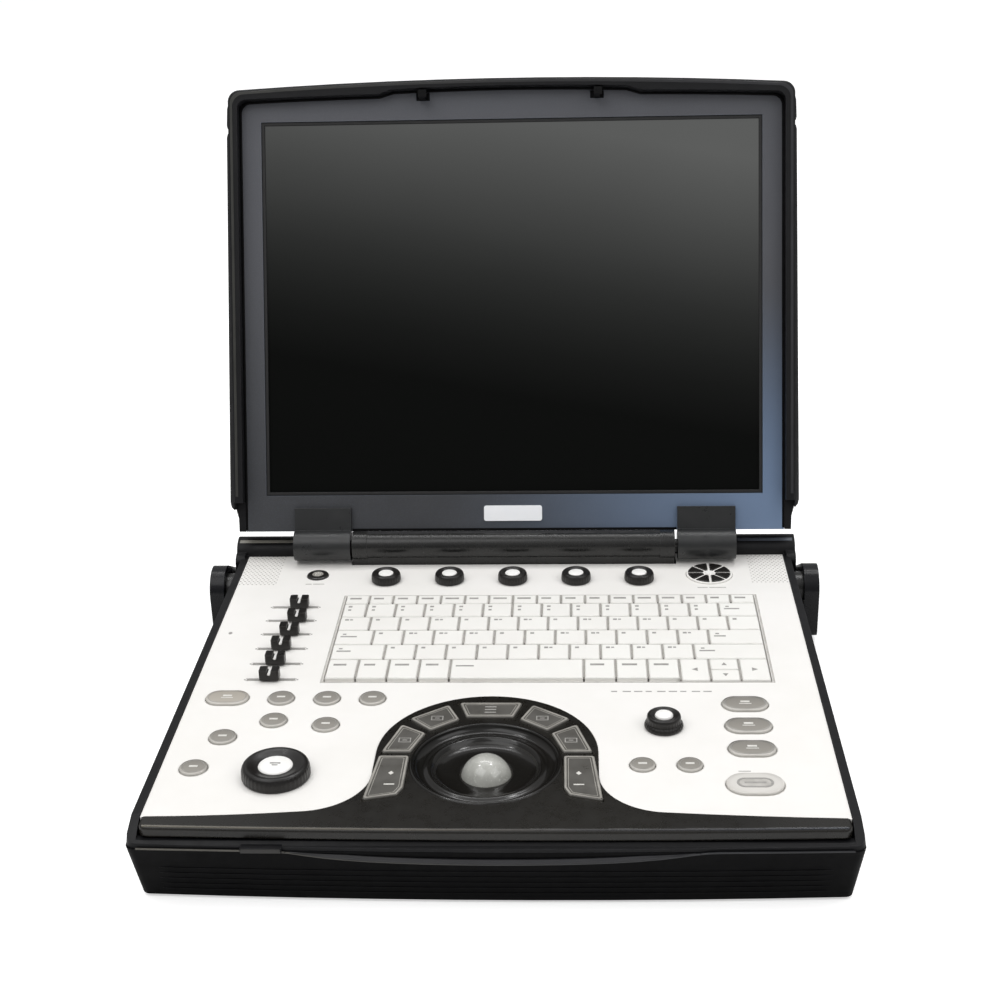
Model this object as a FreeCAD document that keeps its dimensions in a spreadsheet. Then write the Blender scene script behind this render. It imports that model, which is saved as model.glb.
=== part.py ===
import FreeCAD, Part
import math
import os
import Sketcher
from FreeCAD import Vector, Placement, Rotation

# Portable clam-shell ultrasound scanner, lid open.
# Deck frame: X to the operator's right, Y towards the rear, Z up, with the top face of
# the white control panel at Z = 0.  Lid frame: X right, Y up the screen, Z out of the
# screen; its origin line is where the bezel plane meets the deck plane.  Placements carry
# both into the object's frame: origin at the middle of the bounding box, on the table, +Z up.

doc = FreeCAD.newDocument("UltrasoundScanner")
sheet = doc.addObject("Spreadsheet::Sheet", "dims")

# alias, value in mm or degrees, meaning
DIMS = [
    ("y_shift", 87.1, "rearward shift from deck frame to object frame"),
    ("z_shift", 42.0, "deck height above the table"),
    ("lid_tilt", 20.14, "lid lean behind vertical at rest, degrees"),
    ("axis_y", 2.0, "lid hinge axis, deck frame Y"),
    ("axis_z", 11.0, "lid hinge axis, deck frame Z"),
    ("shell_foot_half", 169.2, "half width of the base at its underside"),
    ("shell_half", 172.7, "half width of the base at its widest"),
    ("shell_bottom", 40.2, "depth of the base underside below the deck"),
    ("shell_height", 31.0, "height of the lower shell"),
    ("ledge", 1.2, "width of the ledge along the front seam"),
    ("shell_wall", 2.5, "lower shell floor thickness"),
    ("housing_height", 10.0, "height of the upper housing ring"),
    ("housing_taper", 8.0, "inward lean of the upper housing, degrees"),
    ("panel_half", 167.0, "half width of the white panel"),
    ("panel_thick", 2.2, "white panel thickness"),
    ("arch_radius", 55.7, "radius of the arch around the trackball"),
    ("arch_x", -5.5, "trackball centre line, X"),
    ("arch_y", -225.0, "arch centre, Y"),
    ("palm_top", 0.6, "palm rest face above the deck"),
    ("palm_thick", 6.1, "palm rest thickness"),
    ("bowl_y", -235.4, "trackball bowl centre, Y"),
    ("bowl_radius", 36.4, "trackball bowl outer radius"),
    ("ball_radius", 12.9, "trackball radius"),
    ("ball_y", -235.4, "trackball centre, Y"),
    ("ball_depth", 9.1, "trackball centre below the deck"),
    ("ball_opening", 12.75, "radius of the opening that shows the ball"),
    ("drum_radius", 8.2, "radius of the fixed hinge cover"),
    ("barrel_radius", 9.5, "radius of the moving hinge barrels"),
    ("hinge_pin_radius", 3.0, "lid hinge pin radius"),
    ("hinge_bore_radius", 3.05, "hinge barrel bore radius"),
    ("handle_pin_radius", 4.0, "handle pin radius"),
    ("handle_bore_radius", 4.05, "handle hub bore radius"),
    ("handle_pivot_y", -15.0, "handle pivot, deck Y"),
    ("handle_pivot_z", -10.0, "handle pivot, deck Z"),
    ("handle_hub_radius", 14.0, "handle hub radius"),
    ("handle_grip_radius", 7.0, "handle grip radius"),
    ("handle_reach", 60.0, "pivot to grip centre, rearwards"),
    ("handle_drop", 24.0, "pivot to grip centre, downwards"),
    ("handle_toe", 5.0, "radius of the lower corner of each arm"),
    ("handle_half", 185.4, "half width over the handle"),
    ("handle_inner", 176.7, "half width between the handle arms"),
    ("foot_radius", 8.0, "rubber foot radius"),
    ("foot_height", 1.8, "rubber foot height"),
    ("lid_half", 173.0, "half width of the lid"),
    ("lid_depth", 26.0, "lid thickness behind the bezel face"),
    ("lid_rim", 9.0, "lid rim height in front of the bezel face"),
    ("lid_low", 19.6, "lid lower edge, up the lid plane"),
    ("bezel_thick", 2.5, "bezel thickness"),
    ("screen_width", 308.0, "screen opening width"),
    ("screen_low", 42.0, "screen opening lower edge"),
    ("screen_high", 273.0, "screen opening upper edge"),
    ("lcd_thick", 6.5, "display module thickness"),
    ("knob_shaft_radius", 3.0, "rotary knob shaft radius"),
    ("encoder_bore_radius", 3.05, "encoder bore radius"),
    ("menu_knob_radius", 8.9, "menu knob radius at its skirt"),
    ("menu_knob_height", 5.9, "menu knob height above the deck"),
    ("dial_radius", 17.0, "gain dial radius"),
    ("dial_height", 7.4, "gain dial height above the deck"),
    ("side_knob_radius", 10.0, "side knob radius"),
    ("side_knob_height", 9.0, "side knob height above the deck"),
    ("slider_cap_x", 10.8, "slider cap length"),
    ("slider_cap_y", 6.6, "slider cap depth"),
    ("slider_cap_z", 5.4, "slider cap height"),
    ("slot_low", -140.0, "slider slot left end, X"),
    ("slot_high", -113.4, "slider slot right end, X"),
    ("slot_width", 1.8, "slider slot width"),
    ("button_height", 1.3, "button face above the deck"),
    ("button_depth", 4.0, "button foot below the deck"),
    ("button_gap", 0.3, "gap around each button"),
    ("round_radius", 7.0, "radius of the left round buttons"),
    ("small_radius", 6.3, "radius of the right round buttons"),
    ("key_top", 0.7, "keyboard key tops above the deck"),
    ("key_bottom", 2.3, "keyboard key feet below the deck"),
    ("key_gap", 0.5, "half gap between keys"),
]
for row, (alias, value, note) in enumerate(DIMS, start=1):
    sheet.set("A%d" % row, note)
    sheet.set("B%d" % row, repr(value))
    sheet.setAlias("B%d" % row, alias)
doc.recompute()


def dim(alias):
    return float(sheet.get(alias))


# ---------------------------------------------------------------- shared places, deck frame
BALL_X = dim("arch_x")
BALL_Y = dim("ball_y")
SEAM_Z = -dim("shell_bottom") + dim("shell_height")
SHELL_FRONT = -296.9
AXIS_Y, AXIS_Z = dim("axis_y"), dim("axis_z")
PIVOT_Y, PIVOT_Z = dim("handle_pivot_y"), dim("handle_pivot_z")
DRUM_HALF = 99.5
HINGE_PIN_START = 75.5      # inner end of both lid pins, from the middle
KEYS_LEFT, KEYS_RIGHT, KEYS_FRONT, KEYS_REAR = -98.0, 143.8, -152.5, -48.0

SIDES = (("left", -1), ("right", 1))
ALONG_X = Rotation(Vector(0, 1, 0), 90)
ALONG_Y = Rotation(Vector(1, 0, 0), -90)

# Base screws: x, y
SCREWS = [(-150, -265), (150, -265), (-150, -10), (150, -10), (0, -272), (0, -12)]

# Rotary knobs: x, y
MENU_KNOBS = [(-76.6, -26.2), (-37.9, -26.2), (0.5, -26.2), (38.9, -26.2), (77.0, -26.2)]
DIAL = (-108.0, -247.2)
SIDE_KNOB = (83.8, -200.0)
KNOBS = MENU_KNOBS + [DIAL, SIDE_KNOB]

# Gain sliders: x of the cap, y of the slot
SLIDERS = [(-124.1, -62.3), (-122.9, -79.8), (-124.7, -96.9),
           (-126.7, -114.5), (-127.0, -132.3), (-127.3, -150.2)]

# Buttons on the white panel: label, x, y, length, width
ROUND = 2 * dim("round_radius")
SMALL = 2 * dim("small_radius")
BUTTONS = [
    ("left_button_1", -146.7, -171.0, 23.0, 14.6),
    ("left_button_2", -117.8, -171.2, ROUND, ROUND),
    ("left_button_3", -93.2, -171.4, ROUND, ROUND),
    ("left_button_4", -68.9, -171.4, ROUND, ROUND),
    ("left_button_5", -118.0, -194.4, ROUND, ROUND),
    ("left_button_6", -90.2, -198.8, ROUND, ROUND),
    ("left_button_7", -141.5, -211.2, ROUND, ROUND),
    ("left_button_8", -150.4, -240.6, ROUND, ROUND),
    ("round_button_1", 71.7, -237.2, SMALL, SMALL),
    ("round_button_2", 94.9, -237.2, SMALL, SMALL),
    ("wide_button_1", 127.1, -177.5, 24.0, 14.6),
    ("wide_button_2", 126.9, -199.7, 24.0, 14.6),
    ("wide_button_3", 126.7, -222.0, 24.0, 14.6),
    ("freeze_button", 125.1, -254.5, 28.0, 18.6),
]
# Lower round buttons: label, x, y, radius, face height, edge radius
LOW_BUTTONS = [
    ("power_button", -119.5, -19.0, 6.5, 1.1, 0.7),
    ("direction_pad", 119.7, -19.0, 13.9, 0.9, 0.5),
]

# Latch hooks, lid frame
HOOK_X, HOOK_UP = 53.4, 287.0


# ---------------------------------------------------------------- pieces and placements
PIECES = []


def put_on_deck(obj, x=0.0, y=0.0, z=0.0):
    """Lists an exported piece and places it at a point of the deck frame."""
    PIECES.append(obj)
    obj.Placement = Placement(Vector(x, y + dim("y_shift"), z + dim("z_shift")), Rotation())
    obj.setExpression("Placement.Base.y", "dims.y_shift + (%r)" % float(y))
    obj.setExpression("Placement.Base.z", "dims.z_shift + (%r)" % float(z))


def put_on_lid(obj):
    """Lists an exported piece modelled in the lid frame."""
    PIECES.append(obj)
    obj.Placement = Placement(Vector(0, dim("y_shift"), dim("z_shift")),
                              Rotation(Vector(1, 0, 0), 90 - dim("lid_tilt")))


def deck_body(label, x=0.0, y=0.0, z=0.0):
    body = doc.addObject("PartDesign::Body", label)
    put_on_deck(body, x, y, z)
    return body


def lid_body(label):
    body = doc.addObject("PartDesign::Body", label)
    put_on_lid(body)
    return body


def bind(obj, prop, value):
    """A number is set, a string is an expression on the sheet."""
    if isinstance(value, str):
        obj.setExpression(prop, value)
    else:
        setattr(obj, prop, value)


def start_x(side, outer, length):
    """Low X end of a part of this length whose outer end is at side * outer."""
    return outer - length if side > 0 else -outer


# ---------------------------------------------------------------- sketches
# XY_Plane sketches lie at Z = offset, XZ_Plane ones (X, Z) at Y = -offset and
# YZ_Plane ones (Y, Z) at X = offset.


def sketch(body, name, role="XY_Plane", offset=0.0, tilt=0.0):
    plane = next(item for item in body.Origin.OriginFeatures if item.Role == role)
    sk = body.newObject("Sketcher::SketchObject", body.Label + "_" + name)
    sk.AttachmentSupport = [(plane, "")]
    sk.MapMode = "FlatFace"
    sk.AttachmentOffset = Placement(Vector(0, 0, offset), Rotation(Vector(1, 0, 0), tilt))
    return sk


def seg(start, end):
    return Part.LineSegment(Vector(*start, 0), Vector(*end, 0))


def arc(start, middle, end):
    return Part.Arc(Vector(*start, 0), Vector(*middle, 0), Vector(*end, 0))


def path(start, *steps):
    """Curves end to end.  A step is the end of a line, or the (middle, end) of an arc."""
    curves = []
    for step in steps:
        if isinstance(step[0], tuple):
            middle, end = step
            curves.append(arc(start, middle, end))
        else:
            end = step
            curves.append(seg(start, end))
        start = end
    return curves


def loop(sk, curves, tie=True):
    """Adds a closed run of curves, tying the ends that meet unless told not to."""
    ids = [sk.addGeometry(curve, False) for curve in curves]
    if tie:
        for i, first in enumerate(ids):
            second = ids[(i + 1) % len(ids)]
            for a in (1, 2):
                for b in (1, 2):
                    if (sk.getPoint(first, a) - sk.getPoint(second, b)).Length < 1e-6:
                        sk.addConstraint(
                            Sketcher.Constraint("Coincident", first, a, second, b))
    return ids


def polygon(sk, points):
    return loop(sk, path(*points, points[0]))


def rectangle(sk, x0, x1, y0, y1, width=None, height=None):
    """Upright rectangle; width and height may be expressions on the sheet."""
    ids = polygon(sk, [(x0, y0), (x1, y0), (x1, y1), (x0, y1)])
    for i, kind in zip(ids, ("Horizontal", "Vertical", "Horizontal", "Vertical")):
        sk.addConstraint(Sketcher.Constraint(kind, i))
    for i, tag, size, expression in ((ids[0], "width", x1 - x0, width),
                                     (ids[1], "height", y1 - y0, height)):
        constraint = sk.addConstraint(Sketcher.Constraint("Distance", i, size))
        if expression:
            tag += str(ids[0])
            sk.renameConstraint(constraint, tag)
            sk.setExpression("Constraints." + tag, expression)


def circle(sk, x, y, radius):
    """The radius is a number or an alias on the sheet."""
    bound = isinstance(radius, str)
    value = dim(radius) if bound else radius
    i = sk.addGeometry(Part.Circle(Vector(x, y, 0), Vector(0, 0, 1), value), False)
    constraint = sk.addConstraint(Sketcher.Constraint("Radius", i, value))
    if bound:
        tag = "radius%d" % i
        sk.renameConstraint(constraint, tag)
        sk.setExpression("Constraints." + tag, "dims." + radius)


def stadium(sk, x, y, length, width):
    """Slot shape along X with round ends, or a circle when it is as long as wide."""
    radius = width / 2.0
    half = length / 2.0 - radius
    if half < 1e-6:
        circle(sk, x, y, radius)
        return
    left, right, front, rear = x - half, x + half, y - radius, y + radius
    loop(sk, path((left, front), (right, front), ((right + radius, y), (right, rear)),
                  (left, rear), ((left - radius, y), (left, front))), tie=False)


# ---------------------------------------------------------------- body features


def pad(body, sk, length, reverse=False, mid=False):
    feature = body.newObject("PartDesign::Pad", sk.Name + "_pad")
    feature.Profile = sk
    feature.Reversed = reverse
    feature.Midplane = mid
    bind(feature, "Length", length)
    body.Tip = feature
    return feature


def loft(body, low, high):
    feature = body.newObject("PartDesign::AdditiveLoft", low.Name + "_loft")
    feature.Profile = low
    feature.Sections = [high]
    feature.Ruled = True
    body.Tip = feature


def recompute_cut(body, feature, before):
    """A cut that removes nothing is a mistake, so it stops the build."""
    body.Tip = feature
    doc.recompute()
    if not body.Shape.Volume < before - 0.01:
        raise RuntimeError("cut removed nothing: " + feature.Name)


def pocket(body, sk, length, reverse=False, mid=False):
    """Cuts against the sketch normal, or along it when reversed."""
    doc.recompute()
    before = body.Shape.Volume
    feature = body.newObject("PartDesign::Pocket", sk.Name + "_pocket")
    feature.Profile = sk
    feature.Reversed = reverse
    feature.Midplane = mid
    bind(feature, "Length", length)
    recompute_cut(body, feature, before)
    return feature


def groove(body, sk):
    """Turns the sketch about the upright line through the trackball centre."""
    sk.addGeometry(Part.LineSegment(Vector(BALL_X, -20, 0), Vector(BALL_X, 20, 0)), True)
    doc.recompute()
    before = body.Shape.Volume
    feature = body.newObject("PartDesign::Groove", sk.Name + "_groove")
    feature.Profile = sk
    feature.ReferenceAxis = (sk, ["Axis0"])
    feature.Angle = 360.0
    recompute_cut(body, feature, before)


def fillet(body, base, test, radius):
    """Rounds the edges of base whose bounding box passes the test."""
    doc.recompute()
    edges = ["Edge%d" % i for i, edge in enumerate(base.Shape.Edges, start=1)
             if test(edge.BoundBox)]
    feature = body.newObject("PartDesign::Fillet", base.Name + "_fillet")
    feature.Base = (base, edges)
    feature.Radius = radius
    body.Tip = feature
    doc.recompute()
    # Guards against a rounding the kernel cannot make: the edges are then left sharp.
    if (feature.Shape.isNull() or not feature.Shape.isValid()
            or "Invalid" in feature.State or "Error" in feature.State):
        body.Tip = base
        doc.removeObject(feature.Name)
        doc.recompute()
        FreeCAD.Console.PrintWarning("edges left sharp on %s\n" % base.Name)
        return base
    return feature


def level(z):
    """Test for edges that lie flat at height z."""
    return lambda bounds: abs(bounds.ZMin - z) < 0.01 and abs(bounds.ZMax - z) < 0.01


def taller(height):
    """Test for edges that span more than this height."""
    return lambda bounds: bounds.ZLength > height


# ---------------------------------------------------------------- plain solids


def box(name, x0, x1, y0, y1, z0, z1):
    solid = doc.addObject("Part::Box", name)
    solid.Length, solid.Width, solid.Height = x1 - x0, y1 - y0, z1 - z0
    solid.Placement = Placement(Vector(x0, y0, z0), Rotation())
    return solid


def cylinder(name, radius, height, x, y, z, turn=Rotation()):
    solid = doc.addObject("Part::Cylinder", name)
    bind(solid, "Radius", radius)
    bind(solid, "Height", height)
    solid.Placement = Placement(Vector(x, y, z), turn)
    return solid


def fuse(name, shapes):
    solid = doc.addObject("Part::MultiFuse", name)
    solid.Shapes = shapes
    solid.Refine = True
    return solid


def cut(name, base, tool):
    solid = doc.addObject("Part::Cut", name)
    solid.Base = base
    solid.Tool = tool
    solid.Refine = True
    return solid


def group(name, shapes):
    compound = doc.addObject("Part::Compound", name)
    compound.Links = shapes
    return compound


# ---------------------------------------------------------------- outlines


def base_outline(half, front, bow, rear, corner, rear_corner):
    """Plan of the base: straight sides, bowed front, round front and cut rear corners."""
    dip = corner * (1 - math.sqrt(0.5))
    return path(
        (-half, rear - rear_corner),
        (-half, front + corner),
        ((-half + dip, front + dip), (-half + corner, front)),
        ((0, front - bow), (half - corner, front)),
        ((half - dip, front + dip), (half, front + corner)),
        (half, rear - rear_corner),
        (half - rear_corner, rear),
        (-half + rear_corner, rear),
        (-half, rear - rear_corner))


def panel_edge(gap, half):
    """Edge between white panel and palm rest, left to right; gap moves it to the palm rest."""
    radius = dim("arch_radius") - gap
    arch_y = dim("arch_y")
    left, right = BALL_X - radius, BALL_X + radius
    slant = gap * 0.7
    return path(
        (-half, -283.6 - gap),
        ((-128.0, -282.2 - gap), (-91.5, -279.0 - gap)),
        ((-66.6 + slant, -264.4 - slant), (left, -246.0)),
        (left, arch_y),
        ((BALL_X, arch_y + radius), (right, arch_y)),
        (right, -246.0),
        ((55.6 - slant, -264.4 - slant), (80.5, -279.0 - gap)),
        ((120.0, -281.7 - gap), (half, -283.6 - gap)))


def mirror(points):
    return [(2 * BALL_X - x, y) for x, y in reversed(points)]


def grown(points, distance):
    """Polygon with every side moved outwards by the distance."""
    count = len(points)
    sides = [(points[i], points[(i + 1) % count]) for i in range(count)]
    area = sum(x0 * y1 - x1 * y0 for (x0, y0), (x1, y1) in sides)
    sign = 1.0 if area > 0 else -1.0
    lines = []
    for (x0, y0), (x1, y1) in sides:
        length = math.hypot(x1 - x0, y1 - y0)
        normal_x, normal_y = sign * (y1 - y0) / length, -sign * (x1 - x0) / length
        lines.append((normal_x, normal_y, normal_x * x0 + normal_y * y0 + distance))
    corners = []
    for i in range(count):
        a1, b1, c1 = lines[i - 1]
        a2, b2, c2 = lines[i]
        det = a1 * b2 - a2 * b1
        corners.append(((c1 * b2 - c2 * b1) / det, (a1 * c2 - a2 * c1) / det))
    return corners


def belt(circles):
    """Outline stretched around circles (x, y, radius) listed anticlockwise."""
    count = len(circles)
    normals = []
    for i in range(count):
        (x0, y0, r0), (x1, y1, r1) = circles[i], circles[(i + 1) % count]
        length = math.hypot(x1 - x0, y1 - y0)
        dx, dy = (x1 - x0) / length, (y1 - y0) / length
        sine = (r0 - r1) / length
        cosine = math.sqrt(1 - sine * sine)
        normals.append((cosine * dy + sine * dx, -cosine * dx + sine * dy))

    def rim_point(disc, normal):
        x, y, radius = disc
        return (x + radius * normal[0], y + radius * normal[1])

    curves = []
    for i, disc in enumerate(circles):
        before, after = normals[i - 1], normals[i]
        sum_x, sum_y = before[0] + after[0], before[1] + after[1]
        size = math.hypot(sum_x, sum_y)
        middle = (sum_x / size, sum_y / size)
        leave = rim_point(disc, after)
        curves.append(arc(rim_point(disc, before), rim_point(disc, middle), leave))
        curves.append(seg(leave, rim_point(circles[(i + 1) % count], after)))
    return curves


# Keys in an arc around the trackball, corner points x, y before growing:
# three on the left from front to rear, and the one at the rear of the arc.
ARC_LEFT = [
    [(-62.1, -269.3), (-58.4, -231.6), (-44.7, -231.6), (-45.0, -259.6), (-47.4, -265.3)],
    [(-57.3, -226.4), (-50.0, -201.6), (-38.4, -209.5), (-44.3, -226.4)],
    [(-45.6, -194.6), (-27.8, -181.6), (-22.0, -195.0), (-35.3, -205.2)],
]
ARC_REAR = [(-21.0, -178.9), (10.0, -178.9), (6.1, -192.0), (-17.1, -192.0)]
ARC_GROWTH = 0.9
ARC_KEYS = [grown(points, ARC_GROWTH) for points in
            ARC_LEFT + [ARC_REAR] + [mirror(points) for points in reversed(ARC_LEFT)]]


# ---------------------------------------------------------------- base


def base_lower_shell():
    body = deck_body("base_lower_shell")
    foot_half = dim("shell_foot_half")
    plan = sketch(body, "plan", offset=-dim("shell_bottom"))
    loop(plan, base_outline(foot_half, front=-288.2, bow=3.8, rear=17.0,
                            corner=4.0, rear_corner=6.0))
    rim = sketch(body, "rim", offset=SEAM_Z)
    loop(rim, base_outline(dim("shell_half"), front=SHELL_FRONT, bow=2.5, rear=24.0,
                           corner=5.0, rear_corner=6.0))
    loft(body, plan, rim)
    hollow = sketch(body, "hollow", offset=SEAM_Z)
    loop(hollow, base_outline(foot_half - 2.0, front=-285.6, bow=3.4, rear=14.0,
                              corner=4.0, rear_corner=6.0))
    pocket(body, hollow, dim("shell_height") - dim("shell_wall"))

    # finger scoop along the middle of the front face, cut parallel to that face
    face_lean = 13.43

    def on_face(x, z):
        return (x, z / math.cos(math.radians(face_lean)))

    scoop = sketch(body, "scoop", role="XZ_Plane", offset=300.25, tilt=face_lean)
    loop(scoop, path(
        on_face(-96, -9.5),
        (on_face(-78, -12.6), on_face(-46, -15.2)),
        (on_face(0, -16.2), on_face(46, -15.2)),
        (on_face(78, -12.6), on_face(96, -9.5)),
        on_face(96, -7.0), on_face(-96, -7.0), on_face(-96, -9.5)))
    pocket(body, scoop, 6.0, reverse=True)

    # port window through the rear wall
    port = sketch(body, "port", role="XZ_Plane", offset=-40.0)
    rectangle(port, -131.0, -69.0, -34.0, -16.0)
    pocket(body, port, 30.0, reverse=True)

    # screw holes in the floor
    holes = sketch(body, "screw_holes", offset=-37.2)
    for x, y in SCREWS:
        circle(holes, x, y, 3.0)
    pocket(body, holes, 4.0)


def top_housing():
    """Ring above the lower shell, with a ridge and a cheek at each rear corner."""
    body = deck_body("top_housing")
    height = dim("housing_height")
    top = SEAM_Z + height
    lean_in = height * math.tan(math.radians(dim("housing_taper")))
    front = SHELL_FRONT + dim("ledge")
    plan = sketch(body, "plan", offset=SEAM_Z)
    loop(plan, base_outline(dim("shell_half"), front=front, bow=2.4, rear=24.0,
                            corner=5.0, rear_corner=6.0))
    rim = sketch(body, "rim", offset=top)
    loop(rim, base_outline(dim("shell_half") - lean_in, front=front + lean_in, bow=2.4,
                           rear=24.0 - lean_in, corner=4.4, rear_corner=5.4))
    loft(body, plan, rim)

    opening_half = 167.3
    opening = sketch(body, "opening", offset=top)
    polygon(opening, [(-opening_half, -290.0), (opening_half, -290.0),
                      (opening_half, 12.1), (-opening_half, 12.1)])
    pocket(body, opening, 20.0)
    step = sketch(body, "front_step", offset=top)
    polygon(step, [(-opening_half, -320), (opening_half, -320),
                   (opening_half, -283.4), (-opening_half, -283.4)])
    pocket(body, step, top + 6.0)

    # the side rims fall away towards the front corners
    fall = sketch(body, "front_fall", role="YZ_Plane")
    polygon(fall, [(-282.5, 3.0), (-282.5, top + 0.01), (-296.0, -7.2),
                   (-306.0, -9.6), (-306.0, 3.0)])
    pocket(body, fall, 400.0, mid=True)

    # small tab on the front lip
    tab = sketch(body, "tab", role="XZ_Plane", offset=294.0)
    rectangle(tab, -117.3, -97.9, -9.2, -6.9)
    pad(body, tab, 5.2)

    outer = 174.8
    ridge = path((9.0, 0.15), (9.3, 2.6), ((11.6, 6.4), (15.4, 8.4)),
                 ((18.6, 9.1), (21.2, 8.7)), ((22.3, 8.1), (22.6, 7.0)),
                 (22.6, 0.0), (12.1, 0.0), (12.1, 0.15), (9.0, 0.15))
    cheek = path((9.6, 3.0), (6.0, 2.2), ((3.4, 0.2), (2.6, -3.6)),
                 (2.6, -9.2), (16.0, -9.2), (16.0, 3.0), (9.6, 3.0))

    def add_pair(name, profile, length):
        for tag, side in SIDES:
            sk = sketch(body, name + "_" + tag, role="YZ_Plane",
                        offset=start_x(side, outer, length))
            loop(sk, profile)
            last = pad(body, sk, length)
            doc.recompute()
        return last

    # ridges behind the panel, rounded at their outer ends
    last = add_pair("ridge", ridge, 36.2)
    for tag, side in SIDES:
        last = fillet(body, last, lambda bounds: bounds.XLength < 0.01
                      and abs(bounds.XMax - side * outer) < 0.01 and bounds.ZMin > 2.5, 2.6)
    # cheeks that carry the ridge ends down over the side rims
    add_pair("cheek", cheek, 5.8)


def control_panel():
    body = deck_body("control_panel")
    half = dim("panel_half")
    rear, notch_rear, notch_half = 11.8, -3.6, 100.6    # notch for the hinge cover
    plan = sketch(body, "plan")
    loop(plan, panel_edge(0.0, half) + path(
        (half, -283.6), (half, rear), (notch_half, rear), (notch_half, notch_rear),
        (-notch_half, notch_rear), (-notch_half, rear), (-half, rear), (-half, -283.6)))
    pad(body, plan, "dims.panel_thick", reverse=True)

    def around_keys(name, margin, offset):
        sk = sketch(body, name, offset=offset)
        rectangle(sk, KEYS_LEFT - margin, KEYS_RIGHT + margin,
                  KEYS_FRONT - margin, KEYS_REAR + margin)
        return sk

    pad(body, around_keys("key_tray", 2.0, -dim("panel_thick")), 2.6, reverse=True)
    pocket(body, around_keys("key_window", 0.3, 0.0), 3.8)

    gap = dim("button_gap")
    holes = sketch(body, "button_holes")
    for label, x, y, length, width in BUTTONS:
        stadium(holes, x, y, length + 2 * gap, width + 2 * gap)
    for label, x, y, radius, height, rounding in LOW_BUTTONS:
        circle(holes, x, y, radius + gap)
    for x, y in KNOBS:
        circle(holes, x, y, 3.4)
    pocket(body, holes, 3.0)

    slots = sketch(body, "slider_slots")
    half_slot = dim("slot_width") / 2
    for x, y in SLIDERS:
        rectangle(slots, dim("slot_low"), dim("slot_high"), y - half_slot, y + half_slot,
                  "dims.slot_high - dims.slot_low", "dims.slot_width")
    pocket(body, slots, 3.0)


# Trackball bowl section: distance inside the bowl radius, depth below the palm rest face
BOWL_SECTION = [
    (0.0, 0.0), (0.5, 0.9), (2.0, 2.6), (3.9, 3.3), (6.4, 3.1), (8.4, 2.7),
    (9.8, 3.2), (11.8, 4.9), (14.8, 6.1), (19.0, 6.4), (22.0, 6.5),
]


def palm_rest():
    body = deck_body("palm_rest")
    top = dim("palm_top")
    half = 166.6
    plan = sketch(body, "plan", offset=top)
    loop(plan, panel_edge(0.25, half) + path(
        (half, -283.85), (half, -288.6), ((165.4, -291.4), (162.4, -292.7)),
        ((0.0, -295.2), (-162.4, -292.7)), ((-165.4, -291.4), (-half, -288.6)),
        (-half, -283.85)))
    last = pad(body, plan, "dims.palm_thick", reverse=True)
    # front edge: z of the edge, radius
    for z, radius in ((top, 2.2), (top - dim("palm_thick"), 1.4)):
        last = fillet(body, last,
                      lambda bounds: level(z)(bounds) and bounds.YMax < -285.9, radius)

    well = sketch(body, "well", offset=-5.0)
    circle(well, BALL_X, dim("bowl_y"), 38.5)
    pad(body, well, 5.0, reverse=True)
    bowl = sketch(body, "bowl", role="XZ_Plane", offset=-dim("bowl_y"))
    edge_x = BALL_X + dim("bowl_radius")
    polygon(bowl, [(BALL_X, top + 3.0), (edge_x, top + 3.0)]
            + [(edge_x - inset, top - depth) for inset, depth in BOWL_SECTION]
            + [(BALL_X, top - BOWL_SECTION[-1][1])])
    groove(body, bowl)

    opening = sketch(body, "ball_opening", offset=2.0)
    circle(opening, BALL_X, BALL_Y, "ball_opening")
    pocket(body, opening, 20.0)
    # flared relief under the opening
    relief = sketch(body, "ball_relief", role="XZ_Plane", offset=-BALL_Y)
    polygon(relief, [(BALL_X, -10.4), (BALL_X + 15.6, -10.4), (BALL_X + 13.5, -6.6),
                     (BALL_X, -6.6)])
    groove(body, relief)

    openings = sketch(body, "key_openings", offset=2.0)
    for points in ARC_KEYS:
        polygon(openings, grown(points, 0.35))
    pocket(body, openings, 20.0)


def hinge_drum_cover():
    """Fixed hinge cover between the lid hinges, with a collar and a bore at each end."""
    collar_length, bore_length = 9.0, DRUM_HALF - HINGE_PIN_START
    solids = [
        cylinder("drum_roll", "dims.drum_radius", 2 * DRUM_HALF, -DRUM_HALF,
                 AXIS_Y, AXIS_Z, ALONG_X),
        box("drum_foot", -DRUM_HALF, DRUM_HALF, -3.3, 11.6, -2.2, AXIS_Z),
    ]
    bores = []
    for tag, side in SIDES:
        solids.append(cylinder("drum_collar_" + tag, 8.8, collar_length,
                               start_x(side, DRUM_HALF, collar_length),
                               AXIS_Y, AXIS_Z, ALONG_X))
        bores.append(cylinder("drum_bore_" + tag, "dims.hinge_pin_radius", bore_length,
                              start_x(side, DRUM_HALF, bore_length),
                              AXIS_Y, AXIS_Z, ALONG_X))
    put_on_deck(cut("hinge_drum_cover", fuse("drum_solid", solids), fuse("drum_bores", bores)))


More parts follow.
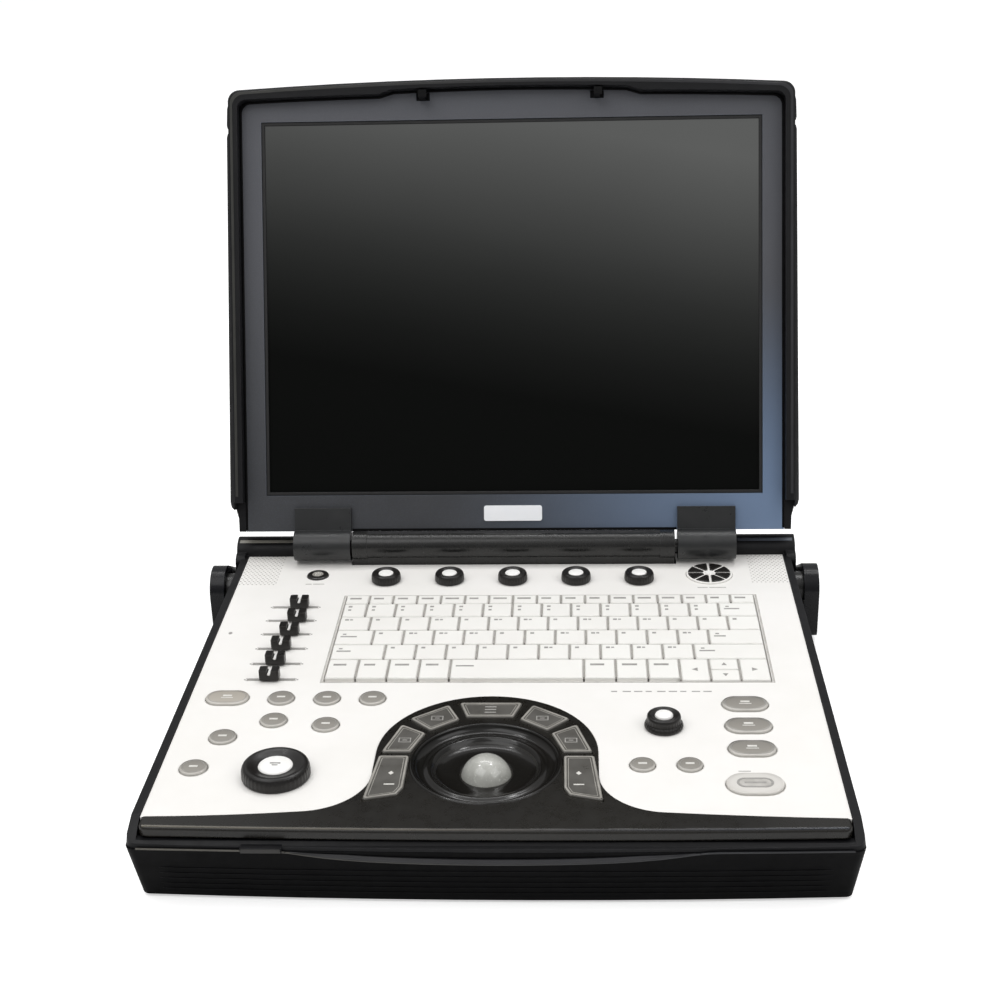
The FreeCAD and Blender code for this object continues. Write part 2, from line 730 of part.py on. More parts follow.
def pivot_pins():
    """Lid pins on the hinge axis and collared studs on the handle pivot."""
    left_length, right_length = 60.0, 61.0
    pins = [
        cylinder("lid_pin_left", "dims.hinge_pin_radius", left_length,
                 -HINGE_PIN_START - left_length, AXIS_Y, AXIS_Z, ALONG_X),
        cylinder("lid_pin_right", "dims.hinge_pin_radius", right_length,
                 HINGE_PIN_START, AXIS_Y, AXIS_Z, ALONG_X),
    ]
    shank_outer, shank_length = 183.8, 15.8
    collar_outer, collar_length = 176.5, 4.9
    for tag, side in SIDES:
        shank = cylinder("handle_pin_" + tag, "dims.handle_pin_radius", shank_length,
                         start_x(side, shank_outer, shank_length), PIVOT_Y, PIVOT_Z, ALONG_X)
        collar = cylinder("handle_collar_" + tag, 9.0, collar_length,
                          start_x(side, collar_outer, collar_length),
                          PIVOT_Y, PIVOT_Z, ALONG_X)
        pins.append(fuse("handle_stud_" + tag, [shank, collar]))
    put_on_deck(group("pivot_pins", pins))


# ---------------------------------------------------------------- inside and under the base

# Chips on the main board: x0, x1, y0, y1, height above the board
CHIPS = [
    (-60, -20, -120, -80, 3.0),
    (-120, -85, -110, -75, 3.0),
    (-130, -100, -200, -150, 4.0),
    (10, 30, -60, -40, 2.5),
    (-80, -60, -60, -20, 6.0),
]


def main_board():
    board_top = -33.2
    sink = 0.1      # chips start this far inside the board
    solids = [cut("board_drilled", box("board", -140, 140, -262, -2, -34.8, board_top),
                  cylinder("board_hole", 3.0, 6.0, *SCREWS[-1], -37.0))]
    for i, (x0, x1, y0, y1, height) in enumerate(CHIPS):
        solids.append(box("chip_%d" % i, x0, x1, y0, y1, board_top - sink,
                          board_top + height))
    put_on_deck(fuse("main_board", solids))


def battery_pack():
    body = deck_body("battery_pack")
    plan = sketch(body, "plan", offset=-30.6)
    rectangle(plan, 45.0, 138.0, -180.0, -56.0)
    fillet(body, pad(body, plan, 18.0), taller(10), 4.0)


def probe_connector():
    body = deck_body("probe_connector")
    face = sketch(body, "shell", role="XZ_Plane", offset=-23.6)
    rectangle(face, -130.6, -69.4, -33.6, -16.4)
    pad(body, face, 22.0)


def speakers():
    drivers = []
    y = -11.5
    for tag, side in SIDES:
        x = side * 155.6
        cone = doc.addObject("Part::Cone", "speaker_cone_" + tag)
        cone.Radius1, cone.Radius2, cone.Height = 7.0, 11.0, 6.0
        cone.Placement = Placement(Vector(x, y, -9.6), Rotation())
        magnet = cylinder("speaker_magnet_" + tag, 6.0, 5.0, x, y, -14.4)
        drivers.append(fuse("speaker_" + tag, [cone, magnet]))
    put_on_deck(group("speakers", drivers))


def rubber_feet():
    feet = []
    for i, (x, y) in enumerate([(-146, -256), (146, -256), (-146, 2), (146, 2)]):
        feet.append(cylinder("foot_%d" % i, "dims.foot_radius", "dims.foot_height",
                             x, y, -dim("z_shift")))
    put_on_deck(group("rubber_feet", feet))


def base_screws():
    head_z = -40.0
    screws = []
    for i, (x, y) in enumerate(SCREWS):
        head = cylinder("screw_head_%d" % i, 2.95, 2.0, x, y, head_z)
        drive = cylinder("screw_drive_%d" % i, 1.2, 1.2, x, y, head_z)
        shank = cylinder("screw_shank_%d" % i, 1.5, 2.2, x, y, -38.1)
        screws.append(cut("screw_%d" % i, fuse("screw_blank_%d" % i, [head, shank]), drive))
    put_on_deck(group("base_screws", screws))


def knob_encoders():
    """A bored box under each rotary knob."""
    half_x, half_y = 6.5, 6.0
    encoders = []
    for i, (x, y) in enumerate(KNOBS):
        case = box("encoder_case_%d" % i, x - half_x, x + half_x, y - half_y, y + half_y,
                   -12.0, -4.0)
        bore = cylinder("encoder_bore_%d" % i, "dims.encoder_bore_radius", 10.0, x, y, -11.0)
        encoders.append(cut("encoder_%d" % i, case, bore))
    put_on_deck(group("knob_encoders", encoders))


def trackball_seat():
    ball_clearance = 0.3
    cup = cylinder("seat_cup", 16.5, 20.2, BALL_X, BALL_Y, -33.0)
    space = doc.addObject("Part::Sphere", "seat_space")
    space.Radius = dim("ball_radius") + ball_clearance
    space.Placement = Placement(Vector(BALL_X, BALL_Y, -dim("ball_depth")), Rotation())
    put_on_deck(cut("trackball_seat", cup, space))


# ---------------------------------------------------------------- keyboard

# Key rows from the rear: front y, rear y, relative key widths from the left
KEY_ROWS = [
    (-59.0, KEYS_REAR, [1.0] * 17),
    (-76.0, -59.0, [0.81] + [1.0] * 12 + [1.28]),
    (-93.0, -76.0, [1.05] + [1.0] * 12 + [1.05]),
    (-110.5, -93.0, [1.25] + [1.0] * 11 + [1.75]),
    (-128.0, -110.5, [1.75] + [1.0] * 10 + [2.3]),
    (KEYS_FRONT, -128.0, [1.0] * 4 + [4.3] + [1.02] * 3 + [0.95] * 3),
]


def key_cap(x0, x1, y0, y1):
    """Block whose top is drawn in on each side, filling the cell less the key gap."""
    gap, low, high = dim("key_gap"), -dim("key_bottom"), dim("key_top")
    bevel = 0.5
    x0, x1, y0, y1 = x0 + gap, x1 - gap, y0 + gap, y1 - gap

    def ring(inset, z):
        left, right, front, rear = x0 + inset, x1 - inset, y0 + inset, y1 - inset
        corners = [(left, front), (right, front), (right, rear), (left, rear), (left, front)]
        return Part.makePolygon([Vector(x, y, z) for x, y in corners])

    base = Part.makeBox(x1 - x0, y1 - y0, high - bevel - low, Vector(x0, y0, low))
    crown = Part.makeLoft([ring(0.0, high - bevel), ring(bevel, high)], True, True)
    return base.fuse(crown).removeSplitter()


def keyboard_keys():
    """The front row ends in three deeper columns, the middle one split in two keys."""
    caps = []
    for front, rear, widths in KEY_ROWS:
        step = (KEYS_RIGHT - KEYS_LEFT) / sum(widths)
        x = KEYS_LEFT
        # columns count up to -1 at the right end
        for column, width in enumerate(widths, start=-len(widths)):
            next_x = x + width * step
            bounds = [front, rear]
            if front == KEYS_FRONT and column < -3:
                bounds = [front + 2.5, rear]
            elif front == KEYS_FRONT and column == -2:
                bounds = [front, (front + rear) / 2.0, rear]
            for y0, y1 in zip(bounds, bounds[1:]):
                caps.append(key_cap(x, next_x, y0, y1))
            x = next_x
    keys = doc.addObject("Part::Feature", "keyboard_keys")
    keys.Shape = Part.makeCompound(caps)
    put_on_deck(keys)


# ---------------------------------------------------------------- lid


def lid_outline():
    """Lid outline with a bowed top edge and slightly drawn-in lower corners."""
    half, low = dim("lid_half"), dim("lid_low")
    return path(
        (-half + 1.7, low), (half - 1.7, low), (half - 1.4, 28.0), (half, 33.0),
        (half, 283.6),
        ((half - 2.0, 289.4), (half - 7.0, 291.6)),
        ((0.0, 296.3), (-half + 7.0, 291.6)),
        ((-half + 2.0, 289.4), (-half, 283.6)),
        (-half, 33.0), (-half + 1.4, 28.0), (-half + 1.7, low))


def bezel_outline(growth, low):
    """Bezel outline with its sides and top moved outwards, and its lower edge at low."""
    half = 167.0 + growth
    # from the right side round the corner to the raised middle: x, height
    right = [(x, height + growth) for x, height in (
        (half, 279.4), (half - 1.8, 283.8), (half - 6.0, 285.4),
        (122.0, 286.6), (80.0, 287.4), (71.5, 290.0))]
    left = [(-x, height) for x, height in right]
    return path(
        (-half, low), (half, low), right[0],
        (right[1], right[2]), (right[3], right[4]), right[5],
        ((0.0, 291.4 + growth), left[5]),
        left[4], (left[3], left[2]), (left[1], left[0]), (-half, low))


def lid_back_cover():
    depth, rim, low = dim("lid_depth"), dim("lid_rim"), dim("lid_low")
    bezel = dim("bezel_thick")
    body = lid_body("lid_back_cover")
    plan = sketch(body, "plan", offset=-depth)
    loop(plan, lid_outline())
    last = pad(body, plan, "dims.lid_depth + dims.lid_rim")
    last = fillet(body, last, lambda bounds: bounds.ZMax < -depth + 0.01
                  and bounds.YMin > low + 8.0, 6.0)
    fillet(body, last, lambda bounds: bounds.ZMin > rim - 0.01 and bounds.YMax > 41.0, 1.6)

    # the sketches start 1 mm in front of the rim
    seat = sketch(body, "bezel_seat", offset=rim + 1.0)
    loop(seat, bezel_outline(0.25, 5.0))
    pocket(body, seat, "dims.lid_rim + 1 + dims.bezel_thick")
    step = sketch(body, "low_step", offset=rim + 1.0)
    polygon(step, [(-190, 5), (190, 5), (190, 38.0), (-190, 38.0)])
    pocket(body, step, "dims.lid_rim + 1")

    back_wall = 2.5
    room = sketch(body, "display_room", offset=-bezel)
    rectangle(room, -162.0, 162.0, 36.6, 283.0)
    pocket(body, room, depth - bezel - back_wall)
    # the back slopes away to the lower edge
    slope = sketch(body, "rear_slope", role="YZ_Plane")
    polygon(slope, [(low, 0.0), (low + 13.2, -depth - 1.0), (0.0, -depth - 1.0), (0.0, 0.0)])
    pocket(body, slope, 400.0, mid=True)


def lid_bezel():
    body = lid_body("lid_bezel")
    plan = sketch(body, "plan")
    loop(plan, bezel_outline(0.0, dim("lid_low")))
    pad(body, plan, "dims.bezel_thick", reverse=True)
    window = sketch(body, "window")
    half = dim("screen_width") / 2
    rectangle(window, -half, half, dim("screen_low"), dim("screen_high"),
              "dims.screen_width", "dims.screen_high - dims.screen_low")
    pocket(body, window, 4.0)
    slots = sketch(body, "hook_slots")
    half_x, half_y = 4.2, 2.5
    for tag, side in SIDES:
        rectangle(slots, side * HOOK_X - half_x, side * HOOK_X + half_x,
                  HOOK_UP - half_y, HOOK_UP + half_y)
    pocket(body, slots, 4.0)


def lcd_panel():
    body = lid_body("lcd_panel")
    gap = 0.1       # behind the bezel
    plan = sketch(body, "plan", offset=-dim("bezel_thick") - gap)
    rectangle(plan, -157.0, 157.0, 38.0, 277.0)
    pad(body, plan, "dims.lcd_thick", reverse=True)


# Rails on the lid sides: name, then points of distance outside the lid, height up the lid
RAILS = [
    ("main", [(0.0, 33.6), (1.6, 35.4), (2.3, 38.4), (2.2, 60.0), (1.0, 262.8),
              (0.4, 265.2), (0.0, 265.2)]),
    ("top", [(0.0, 268.4), (0.5, 268.4), (0.9, 270.2), (0.6, 280.4), (0.0, 282.6)]),
]


def lid_side_bumpers():
    body = lid_body("lid_side_bumpers")
    half = dim("lid_half")
    for tag, side in SIDES:
        for name, points in RAILS:
            rail = sketch(body, "rail_%s_%s" % (tag, name), offset=-9.0)
            polygon(rail, [(side * (half + out), height) for out, height in points])
            pad(body, rail, 16.0)
            doc.recompute()


def hinge_covers():
    """Moving hinge barrels, each with a plate over the bezel and a web to the lid."""
    tilt = math.radians(dim("lid_tilt"))
    axis_up = AXIS_Y * math.sin(tilt) + AXIS_Z * math.cos(tilt)
    axis_out = -AXIS_Y * math.cos(tilt) + AXIS_Z * math.sin(tilt)
    low = dim("lid_low")
    plate_back, plate_front = 0.05, 3.0
    covers = []
    for tag, x0, x1 in (("left", -135.9, -100.6), ("right", 101.4, 137.0)):
        barrel = cylinder("barrel_" + tag, "dims.barrel_radius", x1 - x0,
                          x0, axis_up, axis_out, ALONG_X)
        plate = box("plate_" + tag, x0, x1, axis_up, 34.2, plate_back, plate_front)
        web = box("web_" + tag, x0, x1, axis_up, low - 0.4, -3.0, plate_front)
        bore = cylinder("barrel_bore_" + tag, "dims.hinge_bore_radius", x1 - x0 + 2,
                        x0 - 1, axis_up, axis_out, ALONG_X)
        clearance = box("bezel_clearance_" + tag, x0 - 1, x1 + 1, low - 0.15, 40.0,
                        -9.0, plate_back)
        covers.append(cut("cover_" + tag, fuse("cover_solid_" + tag, [barrel, plate, web]),
                          fuse("cover_tools_" + tag, [bore, clearance])))
    put_on_lid(group("hinge_covers", covers))


def badge_plate():
    body = lid_body("badge_plate")
    plan = sketch(body, "plan", offset=0.02)
    rectangle(plan, -18.0, 18.0, 25.6, 35.2)
    fillet(body, pad(body, plan, 0.9), taller(0.5), 1.5)


def latch_hooks():
    half_x, half_y, tip = 2.0, 2.1, 12.0
    hooks = []
    for tag, side in SIDES:
        x = side * HOOK_X
        y0, y1 = HOOK_UP - half_y, HOOK_UP + half_y
        stem = box("hook_stem_" + tag, x - half_x, x + half_x, y0, y1, -2.2, tip)
        nose = box("hook_nose_" + tag, x - half_x, x + 3.0, y0, y1, tip - 2.0, tip)
        hooks.append(fuse("hook_" + tag, [stem, nose]))
    put_on_lid(group("latch_hooks", hooks))


# ---------------------------------------------------------------- carry handle


def carry_handle():
    """U-shaped handle: a thick plan slab trimmed to the side profile of its arms."""
    body = deck_body("carry_handle", 0.0, PIVOT_Y, PIVOT_Z)
    hub, grip = dim("handle_hub_radius"), dim("handle_grip_radius")
    reach, drop = dim("handle_reach"), dim("handle_drop")
    wide, inner = dim("handle_half"), dim("handle_inner")
    front, end = -hub - 4, reach + grip
    corner, corner_dip = 24, 7.03       # outer corners and their arc middles
    plan = sketch(body, "plan")
    loop(plan, path(
        (-wide, front), (-wide, end - corner),
        ((-wide + corner_dip, end - corner_dip), (-wide + corner, end)),
        (wide - corner, end),
        ((wide - corner_dip, end - corner_dip), (wide, end - corner)),
        (wide, front), (inner, front), (inner, end - 32),
        ((inner - 4.1, end - 22.1), (inner - 14, end - 16)),
        (-inner + 14, end - 16),
        ((-inner + 4.1, end - 22.1), (-inner, end - 32)),
        (-inner, front), (-wide, front)))
    pad(body, plan, 100.0, mid=True)

    # everything between this frame and the belt is cut away
    profile = sketch(body, "side_profile", role="YZ_Plane")
    polygon(profile, [(-60, -70), (130, -70), (130, 70), (-60, 70)])
    loop(profile, belt([(0.0, 0.0, hub), (-8.0, -24.0, dim("handle_toe")),
                        (reach, -drop, grip)]))
    last = pocket(body, profile, 500.0, mid=True)
    fillet(body, last, lambda bounds: bounds.XLength < 0.01
           and abs(abs(bounds.XMax) - wide) < 0.01, 6.8)

    # the bore stops short of the outer faces
    bore_half = 184.0
    bore = sketch(body, "pin_bore", role="YZ_Plane")
    circle(bore, 0.0, 0.0, "handle_bore_radius")
    pocket(body, bore, 2 * bore_half, mid=True)


# ---------------------------------------------------------------- controls


def gain_slider(i, x, y):
    """Cap with rounded upright edges and a notch across its top, on a flat stem."""
    cap_z, notch_radius, notch_half = 1.3, 1.25, 10.0
    notch_z = dim("slider_cap_z")
    cap = doc.addObject("Part::Box", "slider_cap_%d" % i)
    bind(cap, "Length", "dims.slider_cap_x")
    bind(cap, "Width", "dims.slider_cap_y")
    bind(cap, "Height", "dims.slider_cap_z")
    cap.Placement = Placement(
        Vector(-dim("slider_cap_x") / 2, -dim("slider_cap_y") / 2, cap_z), Rotation())
    stem = box("slider_stem_%d" % i, -1.5, 1.5, -0.65, 0.65, -6.0, cap_z + 0.1)
    scoop = cylinder("slider_scoop_%d" % i, notch_radius, 2 * notch_half,
                     0.0, -notch_half, notch_z, ALONG_Y)
    mouth = box("slider_mouth_%d" % i, -notch_radius, notch_radius,
                -notch_half, notch_half, notch_z, notch_z + 4.0)
    notch = fuse("slider_notch_%d" % i, [scoop, mouth])
    rounded = doc.addObject("Part::Fillet", "slider_round_%d" % i)
    rounded.Base = cap
    doc.recompute()
    rounded.Edges = [(k, 1.0, 1.0) for k, edge in enumerate(cap.Shape.Edges, start=1)
                     if edge.BoundBox.ZLength > 1.0]
    solid = fuse("slider_solid_%d" % i, [rounded, stem])
    put_on_deck(cut("gain_slider_%d" % i, solid, notch), x, y)


# Knob sections from the skirt inwards: distance inside the radius, fraction of the height.
# The last fraction of each is that at the centre.
MENU_KNOB_SECTION = [
    (0.0, 0.6), (0.4, 0.82), (1.2, 0.96), (2.2, 1.0), (3.2, 0.97), (4.1, 0.86),
    (4.6, 0.86), (5.2, 0.91), (6.8, 0.95)], 0.96
DIAL_SECTION = [
    (0.0, 0.49), (0.4, 0.76), (1.2, 0.93), (2.4, 0.99), (3.8, 0.97), (6.0, 0.84),
    (7.4, 0.76), (7.8, 0.84), (8.4, 0.9), (11.0, 0.96)], 1.0
SIDE_KNOB_SECTION = [
    (0.0, 0.42), (0.5, 0.6), (1.4, 0.74), (2.3, 0.79), (3.3, 0.78), (4.0, 0.68),
    (4.4, 0.68), (4.7, 0.81), (5.7, 0.92), (7.2, 0.99)], 1.0


def knob(label, place, size, section, foot_inset=0.3, foot_z=1.2):
    """Turned knob on a shaft; size is the start of its radius and height aliases."""
    radius, height = dim(size + "_radius"), dim(size + "_height")
    shaft, underside = dim("knob_shaft_radius"), 0.4
    points, centre = section
    body = deck_body(label, *place)
    profile = sketch(body, "profile", role="XZ_Plane")
    polygon(profile, [(0.0, -9.0), (shaft, -9.0), (shaft, underside),
                      (radius - foot_inset, underside), (radius, foot_z)]
            + [(radius - inset, part * height) for inset, part in points]
            + [(0.0, centre * height)])
    turned = body.newObject("PartDesign::Revolution", profile.Name + "_turn")
    turned.Profile = profile
    turned.ReferenceAxis = (profile, ["V_Axis"])
    turned.Angle = 360.0
    body.Tip = turned


def trackball():
    ball = doc.addObject("Part::Sphere", "trackball")
    bind(ball, "Radius", "dims.ball_radius")
    put_on_deck(ball, BALL_X, BALL_Y, -dim("ball_depth"))


def button(label, x, y, length, width, height, rounding=0.7):
    depth = dim("button_depth")
    body = deck_body(label, x, y)
    plan = sketch(body, "plan", offset=-depth)
    stadium(plan, 0.0, 0.0, length, width)
    fillet(body, pad(body, plan, depth + height), level(height), rounding)


def arc_key(i, points):
    """Key with rounded corners and top edge, placed at the mean of its corner points."""
    depth, top = 5.0, dim("palm_top") + 1.0
    mean_x = sum(x for x, y in points) / len(points)
    mean_y = sum(y for x, y in points) / len(points)
    body = deck_body("arc_key_%d" % i, mean_x, mean_y)
    plan = sketch(body, "plan", offset=-depth)
    polygon(plan, [(x - mean_x, y - mean_y) for x, y in points])
    last = fillet(body, pad(body, plan, depth + top), taller(3.0), 1.3)
    fillet(body, last, level(top), 0.6)


def controls():
    for i, (x, y) in enumerate(SLIDERS, start=1):
        gain_slider(i, x, y)
    for i, place in enumerate(MENU_KNOBS, start=1):
        knob("menu_knob_%d" % i, place, "menu_knob", MENU_KNOB_SECTION)
    knob("gain_dial", DIAL, "dial", DIAL_SECTION, foot_inset=0.4, foot_z=1.0)
    knob("side_knob", SIDE_KNOB, "side_knob", SIDE_KNOB_SECTION)
    trackball()
    for label, x, y, length, width in BUTTONS:
        button(label, x, y, length, width, dim("button_height"))
    for label, x, y, radius, height, rounding in LOW_BUTTONS:
        button(label, x, y, 2 * radius, 2 * radius, height, rounding)
    for i, points in enumerate(ARC_KEYS, start=1):
        arc_key(i, points)


# ---------------------------------------------------------------- build, check, export


def check():
    problems = ["%s is %s" % (obj.Label, obj.State) for obj in doc.Objects
                if "Invalid" in obj.State or "Error" in obj.State]
    problems += ["%s has no valid solid" % obj.Label for obj in PIECES
                 if obj.Shape.isNull() or not obj.Shape.isValid() or not obj.Shape.Solids]
    if problems:
        raise RuntimeError("; ".join(problems))


for build in (base_lower_shell, top_housing, control_panel, palm_rest, hinge_drum_cover,
              pivot_pins, main_board, battery_pack, probe_connector, speakers, rubber_feet,
              base_screws, knob_encoders, trackball_seat, keyboard_keys, lid_back_cover,
              lid_bezel, lcd_panel, lid_side_bumpers, hinge_covers, badge_plate,
              latch_hooks, carry_handle, controls):
    build()
doc.recompute()
check()

os.makedirs("parts", exist_ok=True)
for piece in PIECES:
    piece.Shape.exportStep("parts/%s.step" % piece.Label)
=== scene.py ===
# Portable clamshell console with its lid open: a control deck with keyboard, sliders, knobs,
# buttons and trackball, and a screen in the lid.
# x runs across the unit, -y is the front edge, +y the hinge side, z is up.
# The CAD pieces are in metres. Shapes here are given in millimetres, either on the deck
# (x, y, height above the control panel) or on the tilted lid (x, distance up the lid,
# height out of the screen side).
import math
import bpy
import bmesh
from mathutils import Matrix, Vector


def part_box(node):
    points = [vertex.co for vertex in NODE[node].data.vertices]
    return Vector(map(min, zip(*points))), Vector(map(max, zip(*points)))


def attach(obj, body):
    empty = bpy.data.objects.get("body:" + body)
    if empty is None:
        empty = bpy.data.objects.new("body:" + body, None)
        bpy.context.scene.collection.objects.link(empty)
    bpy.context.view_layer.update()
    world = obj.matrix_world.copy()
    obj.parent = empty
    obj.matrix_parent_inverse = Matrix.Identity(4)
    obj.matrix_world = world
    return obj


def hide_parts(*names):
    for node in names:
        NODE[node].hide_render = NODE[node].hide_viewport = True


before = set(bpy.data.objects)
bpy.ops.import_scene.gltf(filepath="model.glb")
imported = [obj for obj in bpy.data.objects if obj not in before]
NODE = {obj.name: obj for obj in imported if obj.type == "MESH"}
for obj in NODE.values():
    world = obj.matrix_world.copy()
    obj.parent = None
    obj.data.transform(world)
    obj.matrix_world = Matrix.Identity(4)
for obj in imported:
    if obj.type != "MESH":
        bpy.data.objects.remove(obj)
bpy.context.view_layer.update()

scene = bpy.context.scene

# ---------------------------------------------------------------- driving dimensions (mm)
BALL_X, BALL_Y = -5.5, -235.4  # trackball centre; the arc keys mirror about BALL_X
LID_TILT = math.radians(20.14)  # lean back from upright
SCREEN_HALF, SCREEN_LOW, SCREEN_TOP = 154.0, 42.0, 273.0
INK_FOOT = -0.05  # printed marks start just under the deck
BUTTON_TOP = 1.3
ARC_KEY_TOP = 1.6

# Deck buttons: centre x, centre y, length along x, width along y
BUTTONS = {"left_button_%d" % i: spot for i, spot in enumerate((
    (-146.7, -171.0, 23.0, 14.6), (-117.8, -171.2, 14, 14), (-93.2, -171.4, 14, 14),
    (-68.9, -171.4, 14, 14), (-118.0, -194.4, 14, 14), (-90.2, -198.8, 14, 14),
    (-141.5, -211.2, 14, 14), (-150.4, -240.6, 14, 14)), 1)}
BUTTONS.update({
    "round_button_1": (71.7, -237.2, 12.6, 12.6),
    "round_button_2": (94.9, -237.2, 12.6, 12.6),
    "wide_button_1": (127.1, -177.5, 24, 14.6),
    "wide_button_2": (126.9, -199.7, 24, 14.6),
    "wide_button_3": (126.7, -222.0, 24, 14.6),
    "freeze_button": (125.1, -254.5, 28, 18.6),
})
LONG_BUTTON = 20  # buttons longer than this are the oblong ones

# ---------------------------------------------------------------- deck and lid frames (m)
DECK_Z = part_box("control_panel")[1].z
ball_low, ball_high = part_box("trackball")
ORIGIN_Y = (ball_low.y + ball_high.y) / 2 - BALL_Y / 1000.0
TILT_SIN, TILT_COS = math.sin(LID_TILT), math.cos(LID_TILT)


def deck(x, y, z=0.0):
    """Deck point in millimetres to metres in the object's frame."""
    return Vector((x / 1000.0, y / 1000.0 + ORIGIN_Y, z / 1000.0 + DECK_Z))


def lid(x, up, out=0.0):
    """Lid point in millimetres: across, up the lid, out of the screen."""
    return Vector((x / 1000.0, (up * TILT_SIN - out * TILT_COS) / 1000.0 + ORIGIN_Y,
                   (up * TILT_COS + out * TILT_SIN) / 1000.0 + DECK_Z))


# ---------------------------------------------------------------- shader graph helpers


def srgb(*channels):
    """Linear RGBA from sRGB channels of 0 to 255."""
    def linear(c):
        c = c / 255.0
        return c / 12.92 if c <= 0.04045 else ((c + 0.055) / 1.055) ** 2.4
    return tuple(linear(c) for c in channels) + (1.0,)


class Graph:
    """Shader nodes of a material or world. Keyword inputs use _ for the spaces in socket names."""

    def __init__(self, owner, shader="Principled BSDF", space="Object"):
        owner.use_nodes = True
        self.owner = owner
        self.nodes, self.links = owner.node_tree.nodes, owner.node_tree.links
        self.shader = self.nodes[shader]
        self.coord = self.add("TexCoord").outputs[space]

    def feed(self, socket, value):
        """Links the value if it is a socket, or else sets it."""
        if isinstance(value, bpy.types.NodeSocket):
            self.links.new(value, socket)
        else:
            socket.default_value = value

    def fill(self, node, **inputs):
        for key, value in inputs.items():
            self.feed(node.inputs[key.replace("_", " ")], value)

    def surface(self, **inputs):
        self.fill(self.shader, **inputs)

    def add(self, kind, **inputs):
        node = self.nodes.new("ShaderNode" + kind)
        self.fill(node, **inputs)
        return node

    def axes(self):
        return self.add("SeparateXYZ", Vector=self.coord).outputs

    def noise(self, scale, detail=2.0, rough=0.5):
        return self.add("TexNoise", Scale=scale, Detail=detail, Roughness=rough,
                        Vector=self.coord).outputs["Fac"]

    def ramp(self, value, stops):
        """Colour ramp; stops are (position, colour)."""
        node = self.add("ValToRGB", Fac=value)
        elements = node.color_ramp.elements
        while len(elements) < len(stops):
            elements.new(0.5)
        for element, (position, colour) in zip(elements, stops):
            element.position = position
            element.color = colour
        return node.outputs["Color"]

    def remap(self, value, span, to=(0.0, 1.0), smooth=False):
        node = self.add("MapRange", Value=value, From_Min=span[0], From_Max=span[1],
                        To_Min=to[0], To_Max=to[1])
        if smooth:
            node.interpolation_type = "SMOOTHSTEP"
        return node.outputs["Result"]

    def mix(self, share, first, second, blend="MIX"):
        """Colour mix; share is the weight of the second colour."""
        node = self.add("Mix")
        node.data_type = "RGBA"
        node.blend_type = blend
        for index, value in ((0, share), (6, first), (7, second)):
            self.feed(node.inputs[index], value)
        return node.outputs[2]

    def math(self, operation, first, second):
        node = self.add("Math")
        node.operation = operation
        self.feed(node.inputs[0], first)
        self.feed(node.inputs[1], second)
        return node.outputs[0]

    def times(self, first, second):
        return self.math("MULTIPLY", first, second)

    def bump(self, height, strength, distance, **normal):
        return self.add("Bump", Strength=strength, Distance=distance, Height=height,
                        **normal).outputs["Normal"]

    def bevel(self, radius):
        """Normal rounded over the edges; radius in metres."""
        node = self.add("Bevel", Radius=radius)
        node.samples = 4
        return node.outputs[0]

    def edge(self, radius):
        """0 on flat faces, towards 1 at edges."""
        dot = self.add("VectorMath")
        dot.operation = "DOT_PRODUCT"
        self.feed(dot.inputs[0], self.bevel(radius))
        self.feed(dot.inputs[1], self.add("NewGeometry").outputs["Normal"])
        return self.remap(dot.outputs["Value"], span=(0.995, 0.86))


def new_material(name):
    return Graph(bpy.data.materials.new(name))


# ---------------------------------------------------------------- general materials


def plastic(name, colour, alt=None, rough=0.45, spread=0.08, grain=2600.0, grain_height=0.00003,
            strength=0.35, edge=None, metallic=0.0, coat=0.0, spec=0.5, blotch=14.0):
    """Moulded plastic or paint: blotches between two sRGB tones, roughness variation, fine
    grain, painted light on the edges where an edge colour is given (lighter on dark plastics,
    darker on white ones, broken into patches like wear), and softened corners."""
    m = new_material(name)
    base = srgb(*colour)
    if alt:
        second = srgb(*alt)
    else:
        second = tuple(min(1.0, c * 1.25 + 0.002) for c in base[:3]) + (1.0,)
    blotches = m.noise(scale=blotch, detail=4.0, rough=0.6)
    tone = m.mix(m.remap(blotches, span=(0.35, 0.65)), base, second)
    # edge colour: painted light on the edges, in patches like wear
    if edge:
        patchy = m.remap(m.noise(scale=160.0, detail=3.0), span=(0.35, 0.7), to=(0.25, 1.0))
        tone = m.mix(m.times(m.edge(radius=0.0007), patchy), tone, srgb(*edge))
    fine = m.noise(scale=grain, rough=0.6)
    medium = m.noise(scale=120.0, detail=3.0, rough=0.6)
    roughness = m.math(
        "ADD", m.remap(medium, span=(0.3, 0.7), to=(rough - spread, rough + spread)),
        m.remap(fine, span=(0.3, 0.7), to=(-0.03, 0.03)))
    m.surface(Base_Color=tone, Roughness=roughness, Metallic=metallic, Specular_IOR_Level=spec,
              Coat_Weight=coat, Coat_Roughness=0.12,
              Normal=m.bump(fine, strength=strength, distance=grain_height,
                            Normal=m.bevel(radius=0.0004)))
    return m.owner


def fading(name, stops, rough=0.35):
    """Satin plastic whose tone fades along the width as painted light, brighter where the
    highlight falls; stops are (x in metres, sRGB colour).
    """
    half = 0.18  # the ramp spans this far either side of the middle
    m = new_material(name)
    across = m.remap(m.axes()[0], span=(-half, half))
    tone = m.ramp(across, [((x + half) / (2 * half), srgb(*colour)) for x, colour in stops])
    clouds = m.remap(m.noise(scale=60.0, detail=4.0, rough=0.6), span=(0.35, 0.65),
                     to=(0.86, 1.1))
    fine = m.noise(scale=1400.0, rough=0.6)
    m.surface(Base_Color=m.mix(1.0, tone, clouds, "MULTIPLY"),
              Roughness=m.remap(fine, span=(0.3, 0.7), to=(rough - 0.04, rough + 0.04)),
              Specular_IOR_Level=0.35,
              Normal=m.bump(fine, strength=0.3, distance=0.00002))
    return m.owner


